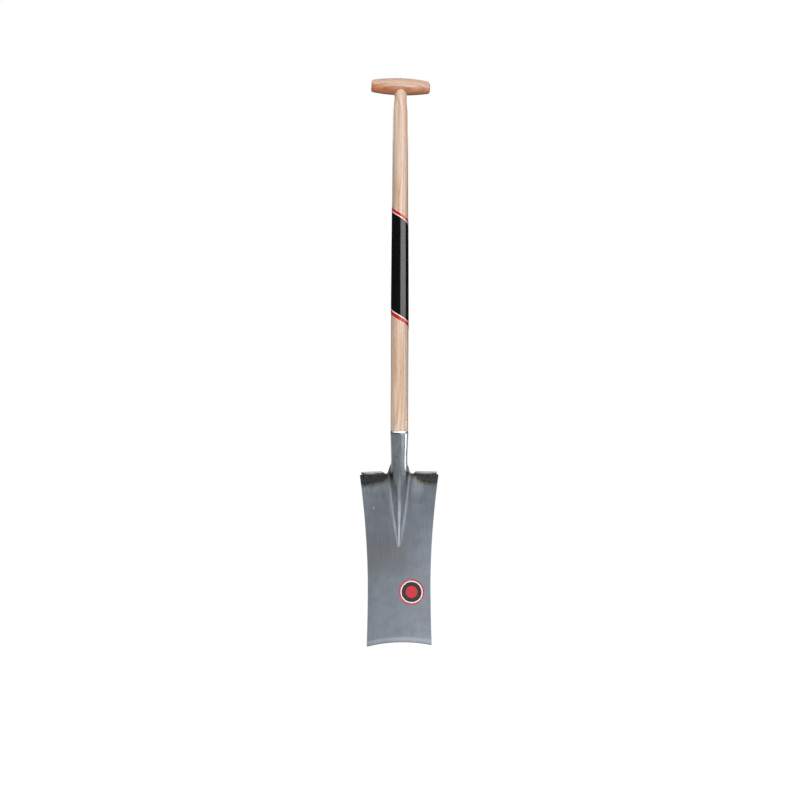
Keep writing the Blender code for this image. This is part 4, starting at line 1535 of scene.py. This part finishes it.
    def thickness_share(self, height: float) -> float:
        """Gives the share of the sheet's thickness, which is ground at the edge and round the rim.

        Args:
            height: The height.

        Returns:
            The share.
        """
        sheet, to_rim = self.socket.sheet, self.layout.rim - height
        edge = self.grind_thickness + (sheet - self.grind_thickness) * height / self.grind_length
        rim = self.rim_thickness + (sheet - self.rim_thickness) * to_rim / self.rim_chamfer
        return min(edge, rim, sheet) / sheet

    def build(self) -> Object:
        """Builds the sheet: the grid of its back skin, thickened towards the front.

        Returns:
            The sheet's object.
        """
        widest = self.centre_columns + self.wing_columns
        shape = bmesh.new()
        grid: list[dict[int, bmesh.types.BMVert]] = []
        shares: list[float] = []
        for height in self.rows():
            reach = widest if height <= self.layout.shoulder + 1e-9 else self.centre_columns
            columns = range(-reach, reach + 1)
            points = {column: self.sheet_point(height, column) for column in columns}
            grid.append({column: shape.verts.new(point) for column, point in points.items()})
            shares += [self.thickness_share(height)] * len(columns)
        for lower, upper in zip(grid, grid[1:]):
            for column in range(-widest, widest):
                last = column + 1
                if column in upper and last in upper:
                    shape.faces.new((lower[column], lower[last], upper[last], upper[column]))
        thing = made_from(shape, "blade_sheet")
        group = thing.vertex_groups.new(name="thickness")
        for index, share in enumerate(shares):
            group.add([index], share, "REPLACE")
        wall = thicken(thing, self.socket.sheet)
        wall.use_even_offset = True
        wall.use_quality_normals = True
        wall.vertex_group = group.name
        return settled(thing)

    def dress(self, nails: Sequence["Nail"]) -> None:
        """Cuts the nail holes, and gives the blade its finish.

        Args:
            nails: The nails that pass through the socket.
        """
        thing = self.build()
        deep, more = 2 * self.socket.sheet, 2 * self.layout.fit
        holes = [
            cylinder("hole", nail.head_diameter + more, -deep, deep, nail.place()) for nail in nails
        ]
        carve(thing, Carving.CUT, holes)
        hand_over(thing, "blade", self.finish.material(self.layout, self))


@dataclass
class Nail:
    """A nail through the socket into the shaft, its low head level with the sheet."""

    name: str
    layout: Layout
    socket: Socket
    height: float
    angle: float = -22.0  # round from the front, towards the left
    head_diameter: float = 0.0052
    shank_diameter: float = 0.0028
    length: float = 0.018
    crown: float = 0.0004
    edge: float = 0.0001  # height of the head's round edge
    crown_steps: int = 9
    steps: int = 40
    dent: float = 0.00012
    dent_size: float = 0.0016

    def place(self) -> Matrix:
        """Gives the nail's frame: its origin is on the outside of the socket and +Z points out of it.

        Returns:
            The frame.
        """
        turn = Matrix.Rotation(math.radians(self.angle), 4, "Z")
        lie = Matrix.Rotation(math.radians(90), 4, "X")
        out = turn @ Vector((0.0, -self.socket.radius(self.height, self.layout), 0.0))
        return Matrix.Translation((out.x, out.y, self.height)) @ turn @ lie

    def build(self) -> Object:
        """Turns the nail and dents its head as a hammer does.

        Returns:
            The nail's object.
        """
        head, shank, sheet = self.head_diameter / 2, self.shank_diameter / 2, self.socket.sheet
        count = self.crown_steps
        profile = [(head * i / count, self.crown * (1 - (i / count) ** 2)) for i in range(count)]
        profile += [(head, -self.edge), (head, -sheet), (shank, -sheet)]
        profile += [(shank, self.shank_diameter - self.length), (0.0, -self.length)]
        thing = turned(f"{self.name}_wire", profile, self.steps)
        seed = Vector((self.height * 90, 0, 0))
        for vert in thing.data.vertices:
            if vert.co.z > -self.edge / 2:
                vert.co.z -= self.dent * max(0.0, noise.noise(vert.co / self.dent_size + seed))
        thing.data.transform(self.place())
        return thing

    def dress(self, material: Material) -> None:
        """Gives the nail its finish."""
        hand_over(self.build(), self.name, material)


@dataclass
class Tread:
    """A foot tread: a plate on the shoulder that follows the line of the dished edge."""

    side: Side
    layout: Layout
    dish: Dish
    sheet: float = 0.0024
    start: float = 0.0315
    blade_half_width: float = 0.0810
    margin: float = 0.0040
    depth: float = 0.0175
    thickness: float = 0.0046
    behind: float = 0.0042
    corner: float = 0.005
    end_slope: float = 0.0034
    top_edge: float = 0.0012
    voxel: float = 0.00055
    smoothing: float = 0.5
    dent: float = 0.00013
    dent_size: float = 0.006
    lens_below: float = 0.42  # of the paler lens, in shares of the thickness from the top

    def span(self) -> tuple[float, float, float]:
        """Gives X of the tread's middle, its slope and its length.

        Returns:
            The three measures.
        """
        across = self.blade_half_width - self.margin - self.start
        middle = self.start + across / 2
        slope = math.asin(middle / self.dish.radius)
        return middle, slope, across / math.cos(slope)

    def place(self) -> Matrix:
        """Gives the tread's frame on the shoulder: X runs outwards along the dished edge.

        Returns:
            The frame.
        """
        x, slope, _ = self.span()
        y = self.dish.setting + self.sheet - self.dish.sag(x)
        turn = Matrix.Rotation(-self.side.value * slope, 4, "Z")
        return Matrix.Translation((self.side.value * x, y, self.layout.shoulder)) @ turn

    def build(self) -> Object:
        """Builds the plate, rounds it off and gives it the unevenness of forged bar.

        Returns:
            The tread's object.
        """
        length, bottom = self.span()[2], self.layout.fit
        middle = (0.0, self.behind - self.depth / 2, bottom + self.thickness / 2)
        shape = block((length, self.depth, self.thickness), middle)
        inner = -self.side.value * length / 2
        top, front = bottom + self.thickness, self.behind - self.depth

        def edges(test: Sequence[tuple[int, float]]) -> list[bmesh.types.BMEdge]:
            """Finds the edges whose ends both lie at each of the named coordinates.

            Args:
                test: Axis and value of each coordinate.

            Returns:
                The edges.
            """
            return [
                edge
                for edge in shape.edges
                if all(abs(vert.co[axis] - at) < 1e-6 for vert in edge.verts for axis, at in test)
            ]

        bevel = partial(bmesh.ops.bevel, shape, affect="EDGES")
        bevel(geom=edges([(0, inner), (2, top)]), offset=self.end_slope, segments=1)
        bevel(geom=edges([(0, -inner), (1, front)]), offset=self.corner, segments=10, profile=0.5)
        bevel(geom=edges([(2, top)]), offset=self.top_edge, segments=3, profile=0.5)
        thing = made_from(shape, f"tread_plate_{self.side.name.lower()}")
        cast = thing.modifiers.new("even mesh", "REMESH")
        cast.mode = "VOXEL"
        cast.voxel_size = self.voxel
        soften = thing.modifiers.new("worn edges", "SMOOTH")
        soften.factor = self.smoothing
        soften.iterations = 2
        thing.matrix_world = self.place()
        settled(thing)
        roughen(thing.data, self.dent, self.dent_size, 3.0 + self.side.value)
        return thing

    def dress(self, finish: ScaledSteel) -> None:
        """Gives the tread its finish.

        Args:
            finish: Finish of this tread.
        """
        top = self.layout.shoulder + self.layout.fit + self.thickness
        material = finish.material(top, top - self.thickness * self.lens_below)
        hand_over(self.build(), f"tread_{self.side.name.lower()}", material)


@dataclass
class WeldBead:
    """A fillet bead in the corner under a tread, its ripples made by Geometry Nodes."""

    name: str
    tread: Tread
    face: Face
    reach: float
    drop: float
    inset: float = 0.003
    ripples: float = 17.0
    ripple_depth: float = 0.15
    crescent: float = 0.55  # how far a ripple lags in the middle of the bead, in ripples
    step: float = 1.6  # power of its rise
    weld: float = 0.000002  # points that are closer become one
    wobble: tuple[float, float] = (0.80, 0.36)  # least size of a section, and what noise adds
    wobble_scale: float = 160.0
    rounding: Span = (0.45, 0.5)  # where the ends are rounded, in shares of the length
    along: int = 240
    round_it: int = 22

    def build(self, material: Material) -> Object:
        """Grows the bead: a grid that is bent along the dished sheet.

        Each section is a quarter of an oval round the corner, and a saw-toothed share of its
        size, with a crescent phase, makes the ripples.

        Args:
            material: Finish of the beads.

        Returns:
            The bead's object.
        """
        in_front = self.face is Face.FRONT
        fit = self.tread.layout.fit
        sizes = {
            "Length": self.tread.span()[2] - 2 * self.inset,
            "Reach": -self.reach if in_front else self.reach,
            "Drop": self.drop,
            "Skin": -self.tread.sheet - fit if in_front else fit,
            "Dish": self.tread.dish.radius,
            "Lean": math.tan(math.radians(self.tread.dish.lean)),
            "Ripples": self.ripples,
            "Depth": self.ripple_depth,
            "Seed": self.tread.side.value * 3.0 + (1.0 if in_front else 0.0),
        }
        rule = Rule("weld bead", sizes, self.along, self.round_it)
        node, size, u, v = rule.node, rule.size, rule.u, rule.v
        x = rule.product(u, size["Length"])

        # V runs from the corner round the oval and back to the corner.
        open_share = 0.5 - 1 / self.round_it
        turn = node(RANGE, [v, -open_share, open_share, 0.0, math.pi / 2])
        off_corner = rule.product(node(MATH, [v], operation="ABSOLUTE"), -self.round_it)
        off_corner = node(MATH, [off_corner, self.round_it / 2], operation="ADD", use_clamp=True)

        # The ends are rounded down to a point.
        beyond = node(RANGE, [node(MATH, [u], operation="ABSOLUTE"), *self.rounding])
        blunt = node(MATH, [1.0, rule.product(beyond, beyond)], operation="SUBTRACT", use_clamp=True)
        blunt = node(MATH, [blunt], operation="SQRT")

        # Ripples: each crescent rises and then steps down to the next.
        bend = node(MATH, [rule.product(turn, 2.0)], operation="SINE")
        phase = rule.total(rule.product(bend, self.crescent), (u, size["Ripples"]))
        phase = node(MATH, [phase], operation="FRACT")
        ripple = rule.product(node(MATH, [phase, self.step], operation="POWER"), size["Depth"])
        seed = node(JOIN, [x, v, size["Seed"]])
        uneven = node(NOISE, {"Vector": seed, "Scale": self.wobble_scale, "Detail": 2.0})
        least, more = self.wobble
        full = node(MATH, [rule.total(least, (uneven, more)), ripple], operation="SUBTRACT")
        full = rule.product(full, blunt, off_corner)
        down = rule.product(node(MATH, [turn], operation="COSINE"), size["Drop"], full)
        away = rule.product(node(MATH, [turn], operation="SINE"), size["Reach"], full)
        sag = node(MATH, [rule.product(x, x), rule.product(size["Dish"], 2.0)], operation="DIVIDE")
        y = node(MATH, [size["Skin"], sag], operation="SUBTRACT")
        y = node(MATH, [y, away], operation="ADD")
        y = node(MATH, [y, rule.product(down, size["Lean"])], operation="SUBTRACT")
        place = [x, y, rule.product(down, -1.0)]
        thing = rule.grow(f"{self.name}_bead", place, self.weld, material)
        thing.data.transform(self.tread.place())
        return thing

    def dress(self, material: Material) -> None:
        """Gives the bead its finish."""
        hand_over(self.build(material), self.name, material)


@dataclass
class Crossbar:
    """The barrel-shaped crossbar of the T-grip, flattened from front to back."""

    layout: Layout
    length: float = 0.1205
    height: float = 0.0348
    depth: float = 0.0322
    end_height: float = 0.0245
    end_rounding: float = 0.0045
    tenon_diameter: float = 0.0210
    steps: int = 128

    def body(self, name: str, extra: float) -> Object:
        """Turns the crossbar on its axis along X.

        Args:
            name: Name of the object.
            extra: How far its surface is moved out.

        Returns:
            The object, in place.
        """
        half, rounding = self.length / 2, self.end_rounding

        def barrel(along: float) -> float:
            """Gives the radius at a distance from the middle."""
            return self.height / 2 - (self.height - self.end_height) / 2 * (along / half) ** 2

        shoulder = half - rounding
        end = []
        for step in range(11):
            angle = math.radians(9 * step)
            radius = barrel(shoulder) - rounding * (1 - math.sin(angle))
            end.append((radius + extra, shoulder + rounding * math.cos(angle) + extra))
        side = [(barrel(a) + extra, a) for a in spread(shoulder, -shoulder, 56)[:-1]]
        caps = [(end[0][0] * i / 5, half + extra) for i in range(5)]
        profile = caps + end + side + [(radius, -along) for radius, along in reversed(caps + end)]
        thing = turned(name, profile, self.steps)
        flatten = (self.depth + 2 * extra) / (self.height + 2 * extra)
        lie_down = Matrix.Rotation(math.radians(90), 4, "Y")
        up = Matrix.Translation((0.0, 0.0, self.layout.grip_axis))
        thing.data.transform(up @ Matrix.Diagonal((1.0, flatten, 1.0, 1.0)) @ lie_down)
        return thing

    def above_crown(self) -> Object:
        """Builds what cuts the tenon and the wedge flush with the crossbar's crown.

        Returns:
            The cutter.
        """
        size = (self.tenon_diameter * 2, self.depth * 2, self.height * 2)
        shape = block(size, (0.0, 0.0, self.layout.grip_axis + self.height))
        sky = made_from(shape, "above_crown")
        carve(sky, Carving.CUT, [self.body("crown", 0.0)])
        return sky

    def dress(self, finish: LacqueredAsh) -> None:
        """Bores the mortise for the tenon and gives the crossbar its finish.

        Args:
            finish: Finish of the crossbar.
        """
        thing = self.body("crossbar_turned", 0.0)
        axis, reach = self.layout.grip_axis, self.height
        bored = self.tenon_diameter + 2 * self.layout.fit
        bore = cylinder("mortise", bored, axis - reach, axis + reach)
        carve(thing, Carving.CUT, [bore])
        hand_over(thing, "grip_crossbar", finish.material())


@dataclass
class TenonWedge:
    """The wedge that spreads the tenon in the crossbar, cut flush with the crown."""

    crossbar: Crossbar
    depth: float = 0.026
    thickness: float = 0.0034
    tip: float = 0.0014

    def body(self, name: str, extra: float) -> Object:
        """Builds the wedge across the tenon.

        Args:
            name: Name of the object.
            extra: How far its faces are moved out.

        Returns:
            The object, in place.
        """
        layout = self.crossbar.layout
        bottom, top = layout.grip_top - self.depth - extra, layout.grip_top + self.thickness
        middle = (top + bottom) / 2
        shape = block((1.0, self.crossbar.depth, top - bottom), (0.0, 0.0, middle))
        for vert in shape.verts:
            thick = self.thickness if vert.co.z > middle else self.tip
            vert.co.x = math.copysign(thick / 2 + extra, vert.co.x)
        return made_from(shape, name)

    def dress(self, material: Material) -> None:
        """Trims the wedge to the tenon's round sides and the crown, and gives it its finish.

        Args:
            material: Finish of the wedge.
        """
        thing = self.body("wedge_cut", 0.0)
        axis, reach = self.crossbar.layout.grip_axis, self.crossbar.height
        sides = cylinder("sides", self.crossbar.tenon_diameter, axis - reach, axis + reach)
        carve(thing, Carving.TRIM, [sides])
        carve(thing, Carving.CUT, [self.crossbar.above_crown()])
        hand_over(thing, "tenon_wedge", material)


@dataclass
class Shaft:
    """The ash shaft: turned by a rule, coped round the crossbar, with a tenon and a foot."""

    layout: Layout
    socket: Socket
    diameter: float = 0.0360
    top_diameter: float = 0.0315
    neck_diameter: float = 0.0273
    taper_start: float = 0.172
    taper_end: float = 0.050
    neck_length: float = 0.036
    foot_height: float = 0.015
    foot_chamfer: float = 0.002
    around: int = 120
    inside_rows: int = 44
    outside_rows: int = 150

    def radius(self, height: float) -> float:
        """Gives the radius above the socket: straight, tapered, then necked at the top.

        Args:
            height: The height.

        Returns:
            The radius.
        """
        layout = self.layout
        start, end = layout.rim + self.taper_start, layout.grip_underside - self.taper_end
        taper = smooth_step((height - start) / (end - start))
        neck = smooth_step((height - layout.grip_underside + self.neck_length) / self.neck_length)
        across = self.diameter + (self.top_diameter - self.diameter) * taper
        return (across + (self.neck_diameter - self.top_diameter) * neck) / 2

    def turn(self, material: Material) -> Object:
        """Turns the shaft: a grid rolled up, its rows placed by the outline.

        The first and the last row close the ends, and the rows between are in the socket up
        to its rim and full size above it.

        Args:
            material: Finish of the shaft.

        Returns:
            The shaft's object, without its joints.
        """
        layout, socket = self.layout, self.socket
        bored = 2 * (socket.sheet + layout.fit)
        sizes = {
            "Foot": layout.shoulder + self.foot_height,
            "Rim": layout.rim + layout.fit,
            "Top": layout.grip_axis,
            "Socket Start": layout.shoulder + socket.neck_straight,
            "Socket Neck": socket.neck_diameter - bored,
            "Socket Rim": socket.rim_diameter - bored,
            "Sweep": socket.rim_sweep,
            "Chamfer": self.foot_chamfer,
            "Diameter": self.diameter,
            "Top Diameter": self.top_diameter,
            "Slimming": self.neck_diameter - self.top_diameter,
            "Taper Start": layout.rim + self.taper_start,
            "Taper End": layout.grip_underside - self.taper_end,
            "Neck Start": layout.grip_underside - self.neck_length,
            "Neck End": layout.grip_underside,
        }
        inside, last_row = self.inside_rows, self.inside_rows + self.outside_rows + 1
        rule = Rule("turned shaft", sizes, self.around, last_row)
        node, size = rule.node, rule.size
        row = rule.product(node(MATH, [rule.v, 0.5], operation="ADD"), float(last_row))
        row = node(MATH, [row], operation="ROUND")
        outside = node(MATH, [row, inside + 0.5], operation="GREATER_THAN")
        below = node(RANGE, [row, 1.0, float(inside), size["Foot"], size["Rim"]])
        above = node(RANGE, [row, inside + 1.0, last_row - 1.0, size["Rim"], size["Top"]])
        height = node(MIX, {"Factor": outside, "A": below, "B": above})

        # In the socket: its bore, chamfered at the foot.
        opening = node(RANGE, [height, size["Socket Start"], size["Rim"]])
        opening = node(MATH, [opening, size["Sweep"]], operation="POWER")
        bore = node(MIX, {"Factor": opening, "A": size["Socket Neck"], "B": size["Socket Rim"]})
        up = node(MATH, [height, size["Foot"]], operation="SUBTRACT")
        chamfer = node(MATH, [size["Chamfer"], up], operation="SUBTRACT")
        chamfer = node(MATH, [chamfer, 0.0], operation="MAXIMUM")
        bore = rule.total(bore, (chamfer, -2.0))

        # Above it: tapered, then necked.
        taper = [size[name] for name in ("Taper Start", "Taper End", "Diameter", "Top Diameter")]
        taper = node(RANGE, [height, *taper], interpolation_type="SMOOTHSTEP")
        neck = [height, size["Neck Start"], size["Neck End"], 0.0, size["Slimming"]]
        neck = node(RANGE, neck, interpolation_type="SMOOTHSTEP")
        body = node(MATH, [taper, neck], operation="ADD")

        # The first and the last row lie on the axis.
        first = node(MATH, [row, 0.5], operation="GREATER_THAN")
        last = node(MATH, [row, last_row - 0.5], operation="LESS_THAN")
        across = node(MIX, {"Factor": outside, "A": bore, "B": body})
        radius = rule.product(across, 0.5, rule.product(first, last))
        angle = rule.product(rule.u, math.tau)
        x = rule.product(node(MATH, [angle], operation="COSINE"), radius)
        y = rule.product(node(MATH, [angle], operation="SINE"), radius)
        return rule.grow("shaft_turned", [x, y, height], 0.00002, material)

    def dress(
        self, crossbar: Crossbar, wedge: TenonWedge, nails: Sequence[Nail], material: Material
    ) -> None:
        """Turns the shaft, cuts its joints and gives it its finish.

        Args:
            crossbar: The crossbar that it is coped round.
            wedge: The wedge that splits its tenon.
            nails: The nails in its foot.
            material: Finish of the shaft.
        """
        layout = self.layout
        thing = self.turn(material)
        carve(thing, Carving.CUT, [crossbar.body("cope", layout.fit)])
        bottom, top = layout.grip_underside - self.neck_length, layout.grip_top + layout.fit
        carve(thing, Carving.ADD, [cylinder("tenon", crossbar.tenon_diameter, bottom, top)])
        bores = []
        for nail in nails:
            bored, deep = nail.shank_diameter + 2 * layout.fit, nail.length + layout.fit
            bores.append(cylinder("bore", bored, -deep, self.socket.sheet, nail.place()))
        carve(thing, Carving.CUT, [crossbar.above_crown(), wedge.body("slot", layout.fit), *bores])
        hand_over(thing, "shaft", material)


@dataclass
class ShaftLabel:
    """The printed film round the shaft, wound so that its ends slant down to the right."""

    shaft: Shaft
    height: float = 0.2172
    middle: float = 0.3336  # above the rim of the socket
    drop: float = 0.066
    film: float = 0.000299
    seam: float = 4.0
    around: int = 120
    up: int = 90

    def build(self) -> Object:
        """Builds the film with its UV map: U runs round the shaft and V up the film.

        Returns:
            The film's object.
        """
        layout = self.shaft.layout
        half_turn = math.pi - math.radians(self.seam)
        shape = bmesh.new()
        film = shape.loops.layers.uv.new("film")
        grid: list[list[tuple[bmesh.types.BMVert, float, float]]] = []
        for j in range(self.up + 1):
            rise = self.height * j / self.up
            row = []
            for i in range(self.around + 1):
                angle = half_turn * (2 * i / self.around - 1)
                z = layout.rim + self.middle - self.height / 2 + rise - self.drop * angle / math.tau
                radius = self.shaft.radius(z) + layout.film_fit
                point = (radius * math.sin(angle), -radius * math.cos(angle), z)
                row.append((shape.verts.new(point), i / self.around, j / self.up))
            grid.append(row)
        for lower, upper in zip(grid, grid[1:]):
            for i in range(self.around):
                corners = (lower[i], lower[i + 1], upper[i + 1], upper[i])
                face = shape.faces.new([corner[0] for corner in corners])
                for loop, corner in zip(face.loops, corners):
                    loop[film].uv = corner[1:]
        thing = made_from(shape, "label_film")
        thicken(thing, self.film)
        return settled(thing)

    def dress(self, finish: PrintedFilm) -> None:
        """Gives the film its print."""
        hand_over(self.build(), "shaft_label", finish.material(self.height))


@dataclass
class BladeSticker:
    """The round sticker, following the dish of the blade."""

    layout: Layout
    dish: Dish
    diameter: float = 0.0510
    right: float = 0.0257
    height: float = 0.1055
    film: float = 0.0003
    rings: int = 14
    steps: int = 128

    def build(self) -> Object:
        """Builds the sticker with its UV map: U is the share of the radius.

        Returns:
            The sticker's object.
        """
        shape = bmesh.new()
        uv = shape.loops.layers.uv.new("rings")
        rows: list[list[bmesh.types.BMVert]] = []
        for ring in range(self.rings + 1):
            radius = self.diameter / 2 * ring / self.rings
            row = []
            for i in range(self.steps if ring else 1):
                turn = math.tau * i / self.steps
                x, z = self.right + radius * math.sin(turn), self.height - radius * math.cos(turn)
                y = self.dish.depth(z, self.layout) - self.dish.sag(x) - self.layout.film_fit
                row.append(shape.verts.new((x, y, z)))
            rows.append(row)
        skin(shape, rows)
        share = {vert: ring / self.rings for ring, row in enumerate(rows) for vert in row}
        for face in shape.faces:
            for loop in face.loops:
                loop[uv].uv = (share[loop.vert], 0.5)
        thing = made_from(shape, "sticker_paper")
        thicken(thing, self.film)
        return settled(thing)

    def dress(self, material: Material) -> None:
        """Gives the sticker its print."""
        hand_over(self.build(), "blade_sticker", material)


@dataclass(frozen=True)
class Lamp:
    """A soft box that looks at the spade."""

    name: str
    turn: float  # round from the front, towards the right
    height: float
    distance: float
    width: float
    tall: float
    power: float
    aim: float = 0.6
    diffuse: bool = True  # it lights what it shines on
    mirrored: bool = True  # it is seen in glossy faces

    def hang(self) -> None:
        """Puts the soft box in its place."""
        lamp = bpy.data.lights.new(self.name, "AREA")
        lamp.shape = "RECTANGLE"
        lamp.size = self.width
        lamp.size_y = self.tall
        lamp.energy = self.power
        thing = bpy.data.objects.new(self.name, lamp)
        bpy.context.scene.collection.objects.link(thing)
        turn = math.radians(self.turn)
        x, y = self.distance * math.sin(turn), -self.distance * math.cos(turn)
        thing.location = (x, y, self.height)
        towards = Vector((0.0, 0.0, self.aim)) - thing.location
        thing.rotation_euler = towards.to_track_quat("-Z", "Y").to_euler()
        thing.visible_camera = False
        thing.visible_diffuse = self.diffuse
        thing.visible_glossy = self.mirrored


@dataclass
class Studio:
    """Floor, lamps, surroundings and the camera at the photograph's viewing angle."""

    distance: float = 1.6
    azimuth: float = -4.6
    eye_height: float = 0.5777
    lens: float = 35.12
    axis_row: float = 361.0  # row of the picture that the camera's axis meets
    axis_column: float = 399.6
    roll: float = 0.20
    # Brightness of the room: what mirrors it sees low walls and a ceiling, and the rest soft light.
    low_sides: Stops = ((0.28, 0.50), (0.675, 0.36), (0.74, 0.38), (0.90, 0.60))
    horizon: Stops = ((0.0, 1.0), (0.490, 1.0), (0.512, 0.0), (1.0, 0.0))
    overhead: Span = (0.24, 0.56, 0.022, 2.4)
    soft: Stops = ((0.0, 0.05), (0.45, 0.06), (0.60, 0.14), (1.0, 0.26))
    floor: PaleFloor = field(default_factory=PaleFloor)
    lamps: Sequence[Lamp] = (
        Lamp("front_box_far", 3.0, 1.05, 3.00, 1.50, 1.50, 79.0, aim=0.75, mirrored=False),
        Lamp("low_fill_left", -36.0, 0.42, 1.00, 0.40, 0.50, 2.1, aim=0.42, mirrored=False),
        Lamp("high_box_right", 12.0, 2.10, 1.55, 1.10, 0.90, 4.0, aim=0.9),
        Lamp("band_box_right", 39.5, 1.28, 1.60, 2.30, 1.08, 17.5, aim=1.28, diffuse=False),
        Lamp("near_card_right", 47.0, 0.415, 0.50, 0.38, 0.14, 0.27, aim=0.415, diffuse=False),
        Lamp("soft_card_right", 20.0, 0.425, 0.50, 0.20, 0.12, 0.080, aim=0.425, diffuse=False),
        Lamp("strip_right", 92.0, 0.280, 1.30, 0.26, 0.17, 2.5, aim=0.400, diffuse=False),
        Lamp("back_left", -145.0, 1.90, 1.50, 0.90, 0.90, 9.0),
        Lamp("back_right", 150.0, 1.90, 1.50, 0.90, 0.90, 9.0),
    )

    def lay_floor(self) -> None:
        """Lays the floor, a round board level with the cutting edge."""
        shape = bmesh.new()
        bmesh.ops.create_circle(shape, cap_ends=True, segments=96, radius=self.floor.radius)
        thing = made_from(shape, "studio_floor")
        thing.data.transform(Matrix.Translation((0.0, 0.0, -0.0004)))
        thing.data.materials.append(self.floor.material())

    def surround(self) -> None:
        """Sets the surroundings: white behind the spade, dim round it."""
        world = bpy.data.worlds.new("studio")
        bpy.context.scene.world = world
        world.use_nodes = True
        tree = world.node_tree
        tree.nodes.clear()
        node = partial(add_node, tree)
        way = node(SPLIT, [node("ShaderNodeTexCoord").outputs["Generated"]]).outputs
        level = node(RANGE, [way["Z"], -1.0, 1.0])
        beside = node(MATH, [way["X"], 0.5, 0.5], operation="MULTIPLY_ADD")
        low = node(RAMP, [beside], self.low_sides)
        rise = node(RAMP, [level], self.horizon)
        low = node(MATH, [low, rise], operation="MULTIPLY")
        high = node(RANGE, [way["Z"], *self.overhead], interpolation_type="SMOOTHSTEP")
        mirrored = node(MATH, [low, high], operation="ADD")
        soft = node(RAMP, [level], self.soft)
        ray = node("ShaderNodeLightPath").outputs
        room = node(MIX, {"Factor": ray["Is Glossy Ray"], "A": soft, "B": mirrored}, data_type="RGBA")
        room = {"Factor": ray["Is Camera Ray"], "A": room, "B": "#ffffff"}
        paint = node("ShaderNodeBackground", {"Color": node(MIX, room, data_type="RGBA")})
        node("ShaderNodeOutputWorld", {"Surface": paint})

    def set_camera(self) -> None:
        """Places the camera level, with a small shift for the photograph's framing."""
        lens = bpy.data.cameras.new("camera")
        lens.lens = self.lens
        lens.sensor_width = 36.0
        lens.clip_start = 0.05
        lens.shift_x = (PICTURE_SIDE / 2 - self.axis_column) / PICTURE_SIDE
        lens.shift_y = (self.axis_row - PICTURE_SIDE / 2) / PICTURE_SIDE
        thing = bpy.data.objects.new("camera", lens)
        bpy.context.scene.collection.objects.link(thing)
        turn = math.radians(self.azimuth)
        x, y = self.distance * math.sin(turn), -self.distance * math.cos(turn)
        thing.location = (x, y, self.eye_height)
        towards = Vector((-x, -y, 0.0)).to_track_quat("-Z", "Y").to_matrix()
        thing.rotation_euler = (towards @ Matrix.Rotation(math.radians(self.roll), 3, "Z")).to_euler()
        bpy.context.scene.camera = thing

    def set_up(self) -> None:
        """Sets up the whole studio."""
        self.set_camera()
        self.surround()
        self.lay_floor()
        for lamp in self.lamps:
            lamp.hang()
        bpy.context.scene.view_settings.view_transform = "Standard"
        log.info("studio: %d lamps", len(self.lamps))


def every_bead(treads: Sequence[Tread]) -> Iterator[WeldBead]:
    """Gives the weld beads in front of the sheet and behind it, under each tread.

    Args:
        treads: The treads.

    Returns:
        The beads, one after another.
    """
    for tread in treads:
        side = tread.side.name.lower()
        yield WeldBead(f"tread_weld_front_{side}", tread, Face.FRONT, reach=0.0042, drop=0.0070)
        yield WeldBead(f"tread_weld_{side}", tread, Face.BACK, reach=0.0032, drop=0.0032)


def main() -> None:
    """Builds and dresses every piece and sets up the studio."""
    logging.basicConfig(level=logging.INFO, format="%(name)s: %(message)s")
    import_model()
    studio = Studio()
    studio.set_up()

    layout, socket, dish = Layout(), Socket(), Dish()
    nails = [
        Nail("socket_nail_upper", layout, socket, layout.rim - 0.0095),
        Nail("socket_nail_lower", layout, socket, layout.rim - 0.0510),
    ]
    Blade(layout, socket, dish).dress(nails)
    nail_steel = NailSteel().material()
    for nail in nails:
        nail.dress(nail_steel)

    treads = [Tread(side, layout, dish) for side in Side]
    # Paler lenses on the treads' fronts: partly clean metal, partly painted highlight.
    patches = {Side.LEFT: (-0.060, 0.014, 0.0012), Side.RIGHT: (0.052, 0.018, 0.0024)}
    for tread in treads:
        name = f"bar_steel_scaled_{tread.side.name.lower()}"
        tread.dress(ScaledSteel(name, patches[tread.side]))
    oxide = WeldOxide().material()
    for bead in every_bead(treads):
        bead.dress(oxide)

    crossbar = Crossbar(layout)
    wedge = TenonWedge(crossbar)
    shaft = Shaft(layout, socket)
    grip_middle = (0.0, 0.0, layout.grip_axis)
    pale_ash = LacqueredAsh(
        "ash_turned_lacquered", Grain.UPRIGHT, (0.0, 0.0, 0.0),
        pale="#e2d1c1", warm="#d0ac8f", early="#b88f74", pore="#886147",
    )
    red_ash = LacqueredAsh(
        "reddish_ash_turned_lacquered", Grain.ACROSS, grip_middle,
        pale="#dabda9", warm="#c79e83", early="#9a5c38", pore="#6b3b24",
        # The crossbar's underside and ends are painted warmer and darker as shade.
        pith=(0.026, 0.030), ring_strength=0.50, heart="#bc652b", heart_share=0.92,
        # painted shade under the crossbar and along its top front edge
        grime=(
            (0.10, 0.0), (0.16, 0.75), (0.275, 0.75), (0.325, 0.0),
            (0.600, 0.0), (0.635, 0.52), (0.69, 0.52), (0.75, 0.0),
        ),
        knots=((0.0530, 1.1262, 0.0013), (0.0504, 1.1397, 0.0010)),
    )
    shaft.dress(crossbar, wedge, nails, pale_ash.material())
    crossbar.dress(red_ash)
    wedge.dress(BeechEndGrain().material())
    ShaftLabel(shaft).dress(PrintedFilm())
    BladeSticker(layout, dish).dress(GlossyPaper().material())


if __name__ == "__main__":
    main()
